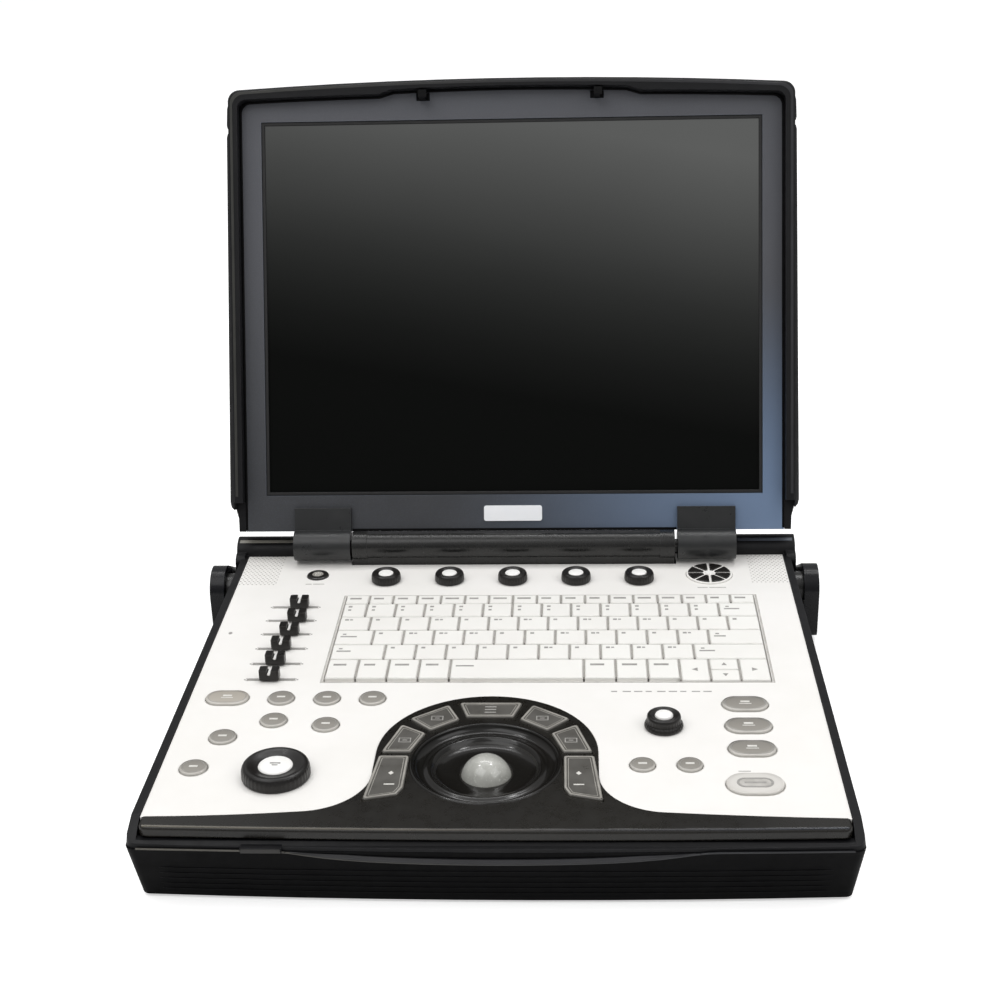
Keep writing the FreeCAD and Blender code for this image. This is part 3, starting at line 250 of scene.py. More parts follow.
MAT = {
    "shell": plastic("shell_black_moulded", (15, 15, 17), alt=(21, 21, 23), rough=0.46,
                     grain=1500.0, grain_height=0.00005, strength=0.5, edge=(46, 46, 49),
                     spec=0.22),
    # darker than the shell black: painted shade on the lower shell, whose front faces away from
    # the light
    "shell_low": plastic("lower_shell_black_moulded", (6, 6, 7), alt=(9, 9, 10), rough=0.5,
                         grain=1300.0, grain_height=0.00006, strength=0.5, edge=(26, 26, 28),
                         spec=0.06),
    "shell_in": plastic("inner_black", (14, 14, 15), rough=0.6),
    "drum": plastic("hinge_cover_black", (20, 20, 20), alt=(26, 26, 25), rough=0.26,
                    spread=0.05, grain=1500.0, edge=(70, 70, 68)),
    "hinge": plastic("hinge_plate_black", (34, 35, 36), alt=(40, 41, 42), rough=0.34,
                     grain=1500.0),
    "panel": plastic("panel_white_overlay", (238, 236, 232), alt=(243, 241, 238), rough=0.42,
                     spread=0.05, grain=1800.0, grain_height=0.000015, strength=0.25,
                     spec=0.35),
    "key": plastic("key_white", (236, 234, 230), alt=(241, 240, 236), rough=0.5, grain=2200.0,
                   grain_height=0.00002, strength=0.3, edge=(205, 202, 196), spec=0.3),
    "palm": plastic("palm_rest_gloss", (20, 18, 15), alt=(26, 24, 20), rough=0.30, spread=0.05,
                    grain=900.0, grain_height=0.00001, strength=0.2, coat=0.1,
                    edge=(78, 74, 66), spec=0.4),
    "rubber": plastic("rubber_black", (24, 24, 26), rough=0.75, grain=900.0,
                      grain_height=0.00008, strength=0.6),
    "handle": plastic("handle_gloss_black", (13, 13, 16), alt=(19, 20, 24), rough=0.28,
                      spread=0.05, grain=700.0, grain_height=0.00001, coat=0.12,
                      edge=(52, 54, 61), spec=0.2),
    "knob": plastic("knob_black", (20, 18, 17), alt=(28, 26, 24), rough=0.34, grain=1800.0,
                    edge=(70, 67, 62), spec=0.4),
    "cap": plastic("knob_cap_white", (244, 243, 240), alt=(250, 249, 247), rough=0.35,
                   grain=2500.0, grain_height=0.00001, edge=(215, 212, 206)),
    "badge": plastic("badge_satin", (240, 243, 248), alt=(250, 251, 253), rough=0.5,
                     grain=3000.0, strength=0.15),
    "steel": plastic("pin_steel", (150, 150, 152), rough=0.3, metallic=1.0),
    "board": plastic("board_green", (16, 72, 40), alt=(20, 84, 48), rough=0.4, blotch=60.0),
    "mark": plastic("print_grey", (150, 148, 144), alt=(168, 166, 162), rough=0.5,
                    blotch=300.0),
    "mark_dark": plastic("print_dark", (88, 86, 82), alt=(110, 108, 104), rough=0.5,
                         blotch=300.0),
    "mark_light": plastic("print_light", (214, 212, 206), alt=(228, 226, 221), rough=0.5,
                          blotch=300.0),
    "groove": plastic("groove_grey", (176, 173, 168), alt=(196, 193, 188), rough=0.6,
                      blotch=200.0),
    "gap": plastic("key_gap_grey", (158, 155, 150), alt=(176, 173, 168), rough=0.6,
                   blotch=260.0),
    "arc_rim": plastic("arc_key_rim", (140, 137, 131), alt=(164, 161, 154), rough=0.4,
                       blotch=90.0),
    "arc": plastic("arc_key_face", (78, 76, 72), alt=(92, 90, 86), rough=0.36, blotch=60.0,
                   edge=(140, 137, 130)),
    "ring_gloss": plastic("bowl_ring_gloss", (18, 17, 15), alt=(24, 22, 20), rough=0.15,
                          spread=0.03, coat=0.06, grain_height=0.000005, spec=0.35),
    "gasket": plastic("screen_gasket", (12, 12, 13), rough=0.55),
    "latch": plastic("latch_black", (9, 9, 10), rough=0.5, edge=(28, 28, 30), spec=0.12),
    "petal": plastic("pad_petal_black", (22, 20, 19), alt=(34, 32, 30), rough=0.3, coat=0.3,
                     edge=(90, 88, 84)),
}

# ---------------------------------------------------------------- special materials


def bezel_material():
    """Dark blue-grey metallic paint with painted light: bluer and lighter towards the lower right
    of the lid (a painted reflection), darker towards the bottom (painted shade), with a painted
    highlight on the edges.
    """
    m = new_material("bezel_blue_grey_paint")
    x, _, z = m.axes()
    # painted shade: darker towards the bottom; painted reflection: bluer and lighter at the lower
    # right
    lower = m.remap(z, span=(DECK_Z + 0.03, DECK_Z + 0.17), to=(1.0, 0.0), smooth=True)
    rightward = m.remap(x, span=(-0.05, 0.18), smooth=True)
    fall = m.remap(z, span=(DECK_Z + 0.02, DECK_Z + 0.20), to=(1.0, 0.0), smooth=True)
    tone = m.mix(fall, srgb(86, 87, 92), srgb(61, 62, 65))
    tone = m.mix(m.times(lower, rightward), tone, srgb(114, 135, 165))
    clouds = m.remap(m.noise(scale=9.0, detail=3.0), span=(0.35, 0.65), to=(0.0, 0.12))
    tone = m.mix(clouds, tone, srgb(90, 93, 99))
    fine = m.noise(scale=3800.0, detail=1.0, rough=0.7)
    flecks = m.remap(fine, span=(0.56, 0.75), to=(0.0, 0.35))
    tone = m.mix(flecks, tone, srgb(120, 128, 142))
    # painted highlight along the edges
    tone = m.mix(m.times(m.edge(radius=0.0006), 0.5), tone, srgb(110, 118, 132))
    m.surface(Base_Color=tone, Metallic=0.3,
              Roughness=m.remap(m.noise(scale=70.0, detail=3.0), span=(0.3, 0.7),
                                to=(0.38, 0.5)),
              Normal=m.bump(fine, strength=0.25, distance=0.00002))
    return m.owner


# Painted screen reflection, drawn as a faint glow, from the low edge to the top: (share of the
# height, sRGB grey)
SHEEN = ((0.0, 3), (0.26, 4), (0.324, 12), (0.389, 19), (0.454, 27), (0.519, 35), (0.584, 43),
         (0.649, 52), (0.778, 69), (0.908, 84), (1.0, 93))


def screen_material():
    """Glossy dark glass with a painted reflection: a faint grey glow that fades from the top edge
    down to black.
    """
    m = new_material("screen_glass")
    x, _, z = m.axes()
    rise = m.remap(z, span=(lid(0, SCREEN_LOW).z, lid(0, SCREEN_TOP).z))
    slant = m.times(x, 0.8)  # lifts the sheen towards the right
    tone = m.ramp(m.math("ADD", rise, slant), [(at, srgb(v, v + 1, v)) for at, v in SHEEN])
    clouds = m.remap(m.noise(scale=6.0), span=(0.3, 0.7), to=(0.94, 1.06))
    m.surface(Base_Color=(0.003, 0.003, 0.003, 1),
              Emission_Color=m.mix(1.0, tone, clouds, "MULTIPLY"),
              Emission_Strength=0.9,
              Roughness=m.remap(m.noise(scale=40.0, detail=3.0), span=(0.3, 0.7),
                                to=(0.10, 0.16)),
              Normal=m.bump(m.noise(scale=1400.0), strength=0.05, distance=0.000004),
              Specular_IOR_Level=0.04)
    return m.owner


def ball_material():
    """Polished speckled grey."""
    m = new_material("trackball_polished_grey")
    mottle = m.noise(scale=90.0, detail=3.0, rough=0.6)
    tone = m.mix(m.remap(mottle, span=(0.35, 0.65)), srgb(164, 164, 158), srgb(186, 186, 180))
    specks = m.remap(m.noise(scale=900.0, detail=1.0, rough=0.7), span=(0.62, 0.7),
                     to=(0.0, 0.5))
    m.surface(Base_Color=m.mix(specks, tone, srgb(214, 214, 208)),
              Roughness=m.remap(mottle, span=(0.3, 0.7), to=(0.10, 0.2)),
              Coat_Weight=0.6,
              Normal=m.bump(m.noise(scale=60.0), strength=0.05, distance=0.0002))
    return m.owner


def button_material(button, base, centre, shade):
    """Frosted button: mottled face, with painted light: darker over the back half with a painted
    shade on the back rim, and a painted highlight making the front rim paler. The three colours
    are sRGB."""
    base, centre, shade = srgb(*base), srgb(*centre), srgb(*shade)
    low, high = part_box(button)
    middle, half = (low + high) / 2, ((high.x - low.x) / 2, (high.y - low.y) / 2)
    m = new_material(button + "_frosted")
    # coordinates of -1 to 1 over the button
    place = m.add("Mapping", Vector=m.coord,
                  Location=(-middle.x / half[0], -middle.y / half[1], 0),
                  Scale=(1 / half[0], 1 / half[1], 0.0)).outputs[0]
    length = m.add("VectorMath")
    length.operation = "LENGTH"
    m.feed(length.inputs[0], place)
    rim = m.remap(length.outputs["Value"], span=(0.78, 1.0), smooth=True)
    y = m.add("SeparateXYZ", Vector=place).outputs[1]
    back = m.remap(y, span=(-0.9, 0.9), smooth=True)
    front = m.math("SUBTRACT", 1.0, back)
    mottle = m.remap(m.noise(scale=90.0, detail=3.0), span=(0.3, 0.7), to=(0.0, 0.5))
    tone = m.mix(mottle, base, centre)
    # painted shade over the back half and on the back rim, painted highlight on the front rim
    tone = m.mix(m.times(back, 0.55), centre, m.mix(0.5, tone, base))
    tone = m.mix(m.times(m.times(rim, back), 0.8), tone, shade)
    tone = m.mix(m.times(m.times(rim, front), 0.8), tone, srgb(206, 203, 197))
    m.surface(Base_Color=tone,
              Roughness=m.remap(m.noise(scale=240.0), span=(0.3, 0.7), to=(0.4, 0.52)),
              Normal=m.bump(m.noise(scale=1800.0), strength=0.3, distance=0.00002))
    return m.owner


MAT["bezel"] = bezel_material()
MAT["screen"] = screen_material()
MAT["ball"] = ball_material()

# ---------------------------------------------------------------- paint the CAD pieces


def paint(node, mat):
    mesh = NODE[node].data
    mesh.materials.clear()
    mesh.materials.append(mat)
    for polygon in mesh.polygons:
        polygon.material_index = 0


def numbered(stem, count):
    return ["%s_%d" % (stem, i) for i in range(1, count + 1)]


PAINT = {
    "shell": ["top_housing", "lid_back_cover"],
    "shell_low": ["base_lower_shell"],
    "shell_in": ["battery_pack", "probe_connector", "speakers", "knob_encoders",
                 "trackball_seat"],
    "drum": ["hinge_drum_cover", "pivot_pins"],
    "hinge": ["hinge_covers"],
    "panel": ["control_panel", "direction_pad"],
    "palm": ["palm_rest"],
    "board": ["main_board"],
    "rubber": ["rubber_feet", "lid_side_bumpers"],
    "steel": ["base_screws"],
    "bezel": ["lid_bezel"],
    "screen": ["lcd_panel"],
    "badge": ["badge_plate"],
    "latch": ["latch_hooks"],
    "handle": ["carry_handle"],
    "key": ["keyboard_keys"],
    "ball": ["trackball"],
    "knob": ["power_button", *numbered("gain_slider", 6), *numbered("menu_knob", 5),
             "gain_dial", "side_knob"],
    "arc": numbered("arc_key", 7),
}
for key, nodes in PAINT.items():
    for node in nodes:
        paint(node, MAT[key])

PLAIN_BUTTON = dict(base=(112, 109, 103), centre=(150, 146, 139), shade=(66, 63, 58))
PALER_BUTTONS = {
    "freeze_button": dict(base=(206, 203, 198), centre=(216, 213, 208), shade=(190, 187, 182)),
    "left_button_1": dict(base=(150, 143, 133), centre=(178, 172, 162), shade=(120, 113, 104)),
}
for name in BUTTONS:
    paint(name, button_material(name, **PALER_BUTTONS.get(name, PLAIN_BUTTON)))

# ---------------------------------------------------------------- outline helpers (mm)


def spaced(start, end, steps):
    return [start + (end - start) * k / steps for k in range(steps + 1)]


def mirrored(points, axis=0.0):
    """The points mirrored about x = axis, in reverse order."""
    return [(2 * axis - x, y) for x, y in reversed(points)]


def rect(x0, x1, y0, y1):
    return [(x0, y0), (x1, y0), (x1, y1), (x0, y1)]


def arc(cx, cy, radius, start, end, steps):
    return [(cx + radius * math.cos(a), cy + radius * math.sin(a))
            for a in spaced(start, end, steps)]


def ellipse(cx, cy, rx, ry, count):
    turns = [2 * math.pi * k / count for k in range(count)]
    return [(cx + rx * math.cos(a), cy + ry * math.sin(a)) for a in turns]


def stadium(cx, cy, length, width):
    """Oblong with round ends along x, or a circle when length equals width."""
    radius = width / 2
    half = length / 2 - radius
    if half < 1e-6:
        return ellipse(cx, cy, radius, radius, 32)
    quarter = math.pi / 2
    return (arc(cx + half, cy, radius, -quarter, quarter, 10)
            + arc(cx - half, cy, radius, quarter, 3 * quarter, 10))


def through(p0, p1, p2, steps):
    """Points on the circular arc from p0 through p1 to p2."""
    (x0, y0), (x1, y1), (x2, y2) = p0, p1, p2
    s0, s1, s2 = x0 ** 2 + y0 ** 2, x1 ** 2 + y1 ** 2, x2 ** 2 + y2 ** 2
    scale = 2 * (x0 * (y1 - y2) + x1 * (y2 - y0) + x2 * (y0 - y1))
    cx = (s0 * (y1 - y2) + s1 * (y2 - y0) + s2 * (y0 - y1)) / scale
    cy = (s0 * (x2 - x1) + s1 * (x0 - x2) + s2 * (x1 - x0)) / scale
    start, end = math.atan2(y0 - cy, x0 - cx), math.atan2(y2 - cy, x2 - cx)
    while end - start > math.pi:
        end -= 2 * math.pi
    while end - start < -math.pi:
        end += 2 * math.pi
    return arc(cx, cy, math.hypot(x0 - cx, y0 - cy), start, end, steps)


def curve(points, steps):
    """Catmull-Rom curve through the points, with the given steps per span."""
    out = []
    last = len(points) - 1
    for i in range(last):
        p0, p1, p2, p3 = points[max(i - 1, 0)], points[i], points[i + 1], points[min(i + 2, last)]
        for k in range(steps):
            t = k / steps
            out.append(tuple(
                0.5 * (2 * p1[c] + (p2[c] - p0[c]) * t
                       + (2 * p0[c] - 5 * p1[c] + 4 * p2[c] - p3[c]) * t * t
                       + (3 * p1[c] - p0[c] - 3 * p2[c] + p3[c]) * t ** 3) for c in (0, 1)))
    out.append(points[-1])
    return out


def grown(points, by):
    """Polygon with every side moved outwards by a distance."""
    count = len(points)
    pairs = [(points[i], points[(i + 1) % count]) for i in range(count)]
    area = sum(x0 * y1 - x1 * y0 for (x0, y0), (x1, y1) in pairs)
    sign = 1.0 if area > 0 else -1.0
    lines = []
    for (x0, y0), (x1, y1) in pairs:
        length = math.hypot(x1 - x0, y1 - y0)
        nx, ny = sign * (y1 - y0) / length, -sign * (x1 - x0) / length
        lines.append((nx, ny, nx * x0 + ny * y0 + by))
    out = []
    for i in range(count):
        a1, b1, c1 = lines[i - 1]
        a2, b2, c2 = lines[i]
        det = a1 * b2 - a2 * b1
        out.append(((c1 * b2 - c2 * b1) / det, (a1 * c2 - a2 * c1) / det))
    return out


def rounded(points, radius, steps=4):
    """Polygon with its corners rounded."""
    out = []
    for i in range(len(points)):
        before, corner, after = (Vector(points[j % len(points)]) for j in (i - 1, i, i + 1))
        back, ahead = (before - corner).normalized(), (after - corner).normalized()
        reach = min(radius / math.tan(back.angle(ahead) / 2),
                    0.45 * (before - corner).length, 0.45 * (after - corner).length)
        start, end = corner + back * reach, corner + ahead * reach
        for k in range(steps + 1):
            t = k / steps
            out.append(tuple((1 - t) ** 2 * start + 2 * t * (1 - t) * corner + t * t * end))
    return out


# ---------------------------------------------------------------- mesh helpers


def make(name, verts, faces, mat, body, slot=None, smooth=False, bevel=0.0):
    """Mesh object riding on a body of the frame; bevel in metres."""
    mesh = bpy.data.meshes.new(name)
    mesh.from_pydata([tuple(v) for v in verts], [], faces)
    mesh.validate()
    bm = bmesh.new()
    bm.from_mesh(mesh)
    bmesh.ops.recalc_face_normals(bm, faces=bm.faces)
    bm.to_mesh(mesh)
    bm.free()
    obj = bpy.data.objects.new(name, mesh)
    scene.collection.objects.link(obj)
    mesh.materials.append(mat)
    if smooth:
        for polygon in mesh.polygons:
            polygon.use_smooth = True
    if bevel:
        add_bevel(obj, bevel, angle=35)
    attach(obj, body)
    return obj


def add_bevel(obj, width, angle):
    modifier = obj.modifiers.new("bevel", "BEVEL")
    modifier.width = width
    modifier.segments = 2
    modifier.limit_method = "ANGLE"
    modifier.angle_limit = math.radians(angle)


class Builder:
    """Collects many small solids in one mesh, placed by deck() or lid()."""

    def __init__(self, to=deck):
        self.verts, self.faces, self.to = [], [], to

    def prism(self, points, z0, z1, inset=0.0):
        """Closed prism over a simple polygon, optionally drawn in at the top."""
        n = len(points)
        first = len(self.verts)
        cx = sum(p[0] for p in points) / n
        cy = sum(p[1] for p in points) / n
        top = []
        for x, y in points:
            k = 1 - inset / (math.hypot(x - cx, y - cy) or 1.0)
            top.append((cx + (x - cx) * k, cy + (y - cy) * k))
        self.verts += [self.to(x, y, z0) for x, y in points]
        self.verts += [self.to(x, y, z1) for x, y in top]
        self.faces.append(list(range(first + n - 1, first - 1, -1)))
        self.faces.append(list(range(first + n, first + 2 * n)))
        for i in range(n):
            j = (i + 1) % n
            self.faces.append([first + i, first + j, first + n + j, first + n + i])

    def bar(self, x0, x1, y0, y1, z0, z1, inset=0.0):
        self.prism(rect(x0, x1, y0, y1), z0, z1, inset)

    def ring(self, inner, outer, z0, z1):
        """Closed band between two loops of equal counts."""
        n = len(inner)
        first = len(self.verts)
        for loop, z in ((inner, z0), (outer, z0), (outer, z1), (inner, z1)):
            self.verts += [self.to(x, y, z) for x, y in loop]
        for i in range(n):
            j = (i + 1) % n
            for k in range(4):
                a, b = first + k * n, first + (k + 1) % 4 * n
                self.faces.append([a + i, a + j, b + j, b + i])

    def done(self, name, mat, body, **options):
        return make(name, self.verts, self.faces, mat, body, **options)


def lathe(name, cx, cy, profile, mat, body, slot, seg, flutes=0, zone=None, closed=False,
          inner_mat=None, inner_spans=0):
    """Turned piece from a profile of (radius, height).
    flutes is a count of shallow finger grooves cut between the two heights of zone; closed
    joins the profile's ends; the first inner_spans spans of the profile take inner_mat."""
    flute_depth = 0.22
    verts, rows = [], []
    for radius, z in profile:
        if radius < 1e-6:
            rows.append([len(verts)] * seg)
            verts.append(deck(cx, cy, z))
            continue
        row = []
        for k in range(seg):
            a = 2 * math.pi * k / seg
            r = radius
            if flutes and zone[0] <= z <= zone[1]:
                r = radius - flute_depth * (0.5 - 0.5 * math.cos(flutes * a)) ** 2
            row.append(len(verts))
            verts.append(deck(cx + r * math.cos(a), cy + r * math.sin(a), z))
        rows.append(row)
    if closed:
        rows.append(rows[0])
    faces, spans = [], []
    for i, (row, above) in enumerate(zip(rows, rows[1:])):
        for k in range(seg):
            j = (k + 1) % seg
            # a point on the axis turns the quad into a triangle
            faces.append(list(dict.fromkeys((row[k], row[j], above[j], above[k]))))
            spans.append(i)
    obj = make(name, verts, faces, mat, body, slot=slot, smooth=True)
    if inner_mat:
        obj.data.materials.append(inner_mat)
        for polygon, span in zip(obj.data.polygons, spans):
            polygon.material_index = int(span < inner_spans)
    return obj


def sweep(name, runs, mat, body, slot):
    """Closed sections joined along each run; a run is a list of rings of placed points."""
    verts, faces = [], []
    for rings in runs:
        first, n = len(verts), len(rings[0])
        last = first + (len(rings) - 1) * n
        for a in range(first, last, n):
            for q in range(n):
                q2 = (q + 1) % n
                faces.append([a + q, a + n + q, a + n + q2, a + q2])
        faces.append([first + q for q in range(n)])
        faces.append([last + q for q in reversed(range(n))])
        for ring in rings:
            verts += ring
    return make(name, verts, faces, mat, body, slot=slot)


# ---------------------------------------------------------------- rotary knobs


def rotary(tag, x, y, radius, body, side, dish, dome, cap_radius, grooves):
    """Rotary control: fluted black body with a dished top, white domed cap, steel shaft.
    side, dish and dome are profiles of (radius, height)."""
    foot, floor_z = 0.35, dish[-1][1]
    rim = curve([(radius - 0.25, foot), (radius, 0.9)] + side + dish, 4)
    knob = lathe(tag + "_body", x, y,
                 [(0, foot), (radius - 0.9, foot)] + rim + [(0, floor_z)],
                 MAT["knob"], body, slot="knob_black", seg=192, flutes=grooves,
                 zone=(1.4, side[-1][1] - 0.4))
    cap = [(0, floor_z - 0.4), (cap_radius, floor_z - 0.4)]
    cap += curve([(cap_radius + 0.05, floor_z + 0.1)] + dome, 4)
    lathe(tag + "_cap", x, y, cap, MAT["cap"], body, slot="panel_white", seg=96)
    lathe(tag + "_shaft", x, y, [(0, -9.0), (3.0, -9.0), (3.0, 0.4), (0, 0.4)],
          MAT["steel"], body, slot="steel", seg=32)
    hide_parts(tag)


MENU_Y = -26.2
for i, x in enumerate((-76.6, -37.9, 0.5, 38.9, 77.0), 1):
    rotary("menu_knob_%d" % i, x, MENU_Y, radius=8.9, body="menu_%d" % i,
           side=[(8.9, 2.4), (8.8, 3.7), (8.5, 4.8)],
           dish=[(7.9, 5.6), (7.1, 5.88), (6.2, 5.8), (5.3, 5.35), (4.8, 4.95)],
           dome=[(4.35, 5.3), (3.9, 5.5), (3.0, 5.68), (1.6, 5.8), (0, 5.84)],
           cap_radius=4.45, grooves=30)

DIAL_X, DIAL_Y = -108.0, -247.2
rotary("gain_dial", DIAL_X, DIAL_Y, radius=17.0, body="dial",
       side=[(17.0, 2.4), (16.9, 4.2), (16.6, 5.6), (16.0, 6.6)],
       dish=[(15.2, 7.15), (14.2, 7.3), (13.0, 7.05), (11.6, 6.5), (10.3, 5.95), (9.5, 5.75)],
       dome=[(8.3, 6.2), (7.7, 6.6), (6.2, 6.95), (3.5, 7.2), (0, 7.3)],
       cap_radius=8.5, grooves=44)
dial_mark = Builder()
dial_mark.bar(DIAL_X - 2.6, DIAL_X + 2.6, DIAL_Y - 0.35, DIAL_Y + 0.35, 7.1, 7.4)
dial_mark.bar(DIAL_X - 1.4, DIAL_X + 1.4, DIAL_Y - 2.0, DIAL_Y - 1.4, 7.05, 7.37)
dial_mark.done("gain_dial_mark", MAT["mark_dark"], "dial")

rotary("side_knob", 83.8, -200.0, radius=10.0, body="side",
       side=[(9.95, 1.8), (9.6, 2.6), (9.0, 3.4), (8.75, 4.6), (8.7, 6.0)],
       dish=[(8.35, 7.0), (7.7, 7.4), (6.9, 7.35), (6.1, 6.9), (5.5, 6.6), (5.2, 6.5)],
       dome=[(4.5, 7.2), (4.1, 7.65), (3.1, 8.05), (1.7, 8.25), (0, 8.3)],
       cap_radius=4.65, grooves=30)

# ---------------------------------------------------------------- sliders
# Slider cap centres: x, y
SLIDERS = ((-124.1, -62.3), (-122.9, -79.8), (-124.7, -96.9), (-126.7, -114.5),
           (-127.0, -132.3), (-127.3, -150.2))
SLOT_LEFT, SLOT_RIGHT = -140.6, -112.8

for i, (x, y) in enumerate(SLIDERS, 1):
    slider = NODE["gain_slider_%d" % i]
    weld = slider.modifiers.new("weld", "WELD")
    weld.merge_threshold = 0.000002
    add_bevel(slider, 0.00035, angle=30)
    pointer = Builder()
    pointer.bar(x - 0.8, x + 0.8, y - 3.1, y + 3.1, 4.15, 4.85, inset=0.1)
    pointer.done("slider_line_%d" % i, MAT["cap"], "slider_%d" % i, slot="panel_white")

# tick at each end of a slot, and a line along either side of it
scale = Builder()
for _, y in SLIDERS:
    for x in (SLOT_LEFT - 1.0, SLOT_RIGHT):
        scale.bar(x, x + 1.0, y - 0.5, y + 0.5, INK_FOOT, 0.06)
    for y0, y1 in ((y - 1.35, y - 0.95), (y + 0.95, y + 1.35)):
        scale.bar(SLOT_LEFT, SLOT_RIGHT, y0, y1, INK_FOOT, 0.06)
scale.done("slider_scale", MAT["mark"], "base", slot="key_grey")

# ---------------------------------------------------------------- keyboard
# Rows from the back: front edge y, back edge y, relative key widths from the left
KEY_ROWS = (
    (-59.0, -48.0, [1.0] * 17),
    (-76.0, -59.0, [0.81] + [1.0] * 12 + [1.28]),
    (-93.0, -76.0, [1.05] + [1.0] * 12 + [1.05]),
    (-110.5, -93.0, [1.25] + [1.0] * 11 + [1.75]),
    (-128.0, -110.5, [1.75] + [1.0] * 10 + [2.3]),
    (-152.5, -128.0, [1.0] * 4 + [4.3] + [1.02] * 3 + [0.95] * 3),
)
FRONT_ROW = len(KEY_ROWS) - 1
ARROW_KEYS = 3  # at the right end of the front row
KEYS_LEFT, KEYS_RIGHT = -98.0, 143.8
KEY_TOP = 0.7
LEGEND_Z = (KEY_TOP - 0.02, KEY_TOP + 0.05)
random_state = 7


def random_share():
    """Next draw of a linear congruential generator, 0 to 1."""
    global random_state
    random_state = (random_state * 1103515245 + 12345) & 0x7FFFFFFF
    return random_state / 0x7FFFFFFF


def key_legend(legends, row, from_right, width, x0, x1, y0, y1):
    """Strokes for one key's print; from_right counts keys from the right end, from 0."""
    def stroke(*sides):
        legends.bar(*sides, *LEGEND_Z)

    mid_x, mid_y = (x0 + x1) / 2, (y0 + y1) / 2
    if row == 0:
        length = 5.0 + 3.0 * random_share()
        stroke(x0 + 2.6, x0 + 2.6 + length, y1 - 5.4, y1 - 3.4)
    elif width > 1.2:
        length = 6.0 + 4.0 * random_share()
        y = mid_y + (3.0 if row == FRONT_ROW else 0.5)
        stroke(x0 + 3.0, x0 + 3.0 + length, y - 0.7, y + 0.7)
        if row in (1, 3, 4):
            stroke(x0 + 4.0, x0 + 6.0, y + 2.2, y + 3.6)
    elif row == FRONT_ROW and from_right == 1:
        for way in (1, -1):  # triangles towards the back and the front
            legends.prism([(mid_x - 1.5, mid_y + 4.6 * way), (mid_x + 1.5, mid_y + 4.6 * way),
                           (mid_x, mid_y + 7.8 * way)][::way], *LEGEND_Z)
    elif row == FRONT_ROW and from_right < ARROW_KEYS:
        way = 1 if from_right == 0 else -1
        legends.prism([(mid_x - 1.5 * way, mid_y - 1.9), (mid_x + 1.8 * way, mid_y),
                       (mid_x - 1.5 * way, mid_y + 1.9)], *LEGEND_Z)
    elif row == FRONT_ROW:
        length = 6.0 + 3.5 * random_share()
        stroke(x0 + 3.4, x0 + 3.4 + length, y1 - 7.6, y1 - 5.6)
    else:
        # small strokes at the back left of the key
        x, y = x0 + 3.0, y1 - 4.2
        stroke(x, x + 2.2, y - 0.9, y + 0.9)
        if row == 1:
            stroke(x + 0.2, x + 2.0, y - 5.2, y - 3.4)
        elif random_share() > 0.5:
            stroke(x + 2.9, x + 4.6, y - 0.7, y + 0.7)


legends, gaps = Builder(), Builder()
for row, (front, back, widths) in enumerate(KEY_ROWS):
    unit = (KEYS_RIGHT - KEYS_LEFT) / sum(widths)
    x = KEYS_LEFT
    for i, width in enumerate(widths):
        next_x = x + width * unit
        from_right = len(widths) - 1 - i
        # in the front row, all but the arrow keys are shorter
        short = row == FRONT_ROW and from_right >= ARROW_KEYS
        key_front = front + 2.5 if short else front
        if i:
            gaps.bar(x - 0.5, x + 0.5, key_front + 1.0, back - 0.6,
                     KEY_TOP - 1.2, KEY_TOP + 0.03)
        key_legend(legends, row, from_right, width, x, next_x, key_front, back)
        x = next_x
gaps.done("key_gap_shade", MAT["gap"], "keys", slot="key_grey")
legends.done("key_legends", MAT["mark"], "keys", slot="key_grey")

FRAME_MARGIN = 1.1
x0, x1 = KEYS_LEFT - FRAME_MARGIN, KEYS_RIGHT + FRAME_MARGIN
y0, y1 = KEY_ROWS[-1][0] - FRAME_MARGIN, KEY_ROWS[0][1] + FRAME_MARGIN
frame_line = Builder()
frame_line.ring(rect(x0 + 0.5, x1 - 0.5, y0 + 0.45, y1 - 0.4),
                rect(x0 - 0.5, x1 + 0.5, y0 - 0.3, y1), INK_FOOT, 0.08)
frame_line.done("keyboard_frame_line", MAT["groove"], "base", slot="key_grey")

# ---------------------------------------------------------------- speaker grilles
DOT_PITCH, DOT_ROW_PITCH, DOT_RADIUS = 2.6, 2.1, 0.55
dots = Builder()
for x0, x1, y0, y1 in ((-166.0, -143.5, -31.0, 9.0), (145.0, 166.0, -30.0, 9.0)):
    row = 0
    y = y0
    while y <= y1:
        x = x0 + (row % 2) * DOT_PITCH / 2
        while x <= x1:
            dots.prism(ellipse(x, y, DOT_RADIUS, DOT_RADIUS, 8), INK_FOOT, 0.05)
            x += DOT_PITCH
        y += DOT_ROW_PITCH
        row += 1
dots.done("speaker_grille_dots", MAT["groove"], "base", slot="key_grey")

# ---------------------------------------------------------------- printed captions
dashes = Builder()
# caption dashes near the back corners: x from, x to, y from
for x0, x1, y0 in ((-125.5, -121.8, -31.2), (-120.9, -114.0, -31.2),
                   (111.5, 117.5, -37.6), (118.5, 128.5, -37.6)):
    dashes.bar(x0, x1, y0, y0 + 0.7, INK_FOOT, 0.05)
x, y, _, width = BUTTONS["freeze_button"]
dashes.bar(x - 7.0, x - 1.0, y + width / 2 + 2.6, y + width / 2 + 3.2, INK_FOOT, 0.04)
dashes.prism(ellipse(-159.4, -95.2, 1.1, 1.5, 16), INK_FOOT, 0.05)
for k in range(9):  # row of dashes in front of the keyboard
    x = 57.6 + 6.1 * k
    dashes.bar(x, x + (4.4 if k % 3 else 3.2), -163.9, -162.9, INK_FOOT, 0.04)
dashes.done("printed_dashes", MAT["mark"], "base", slot="key_grey")

# ---------------------------------------------------------------- marks on the buttons


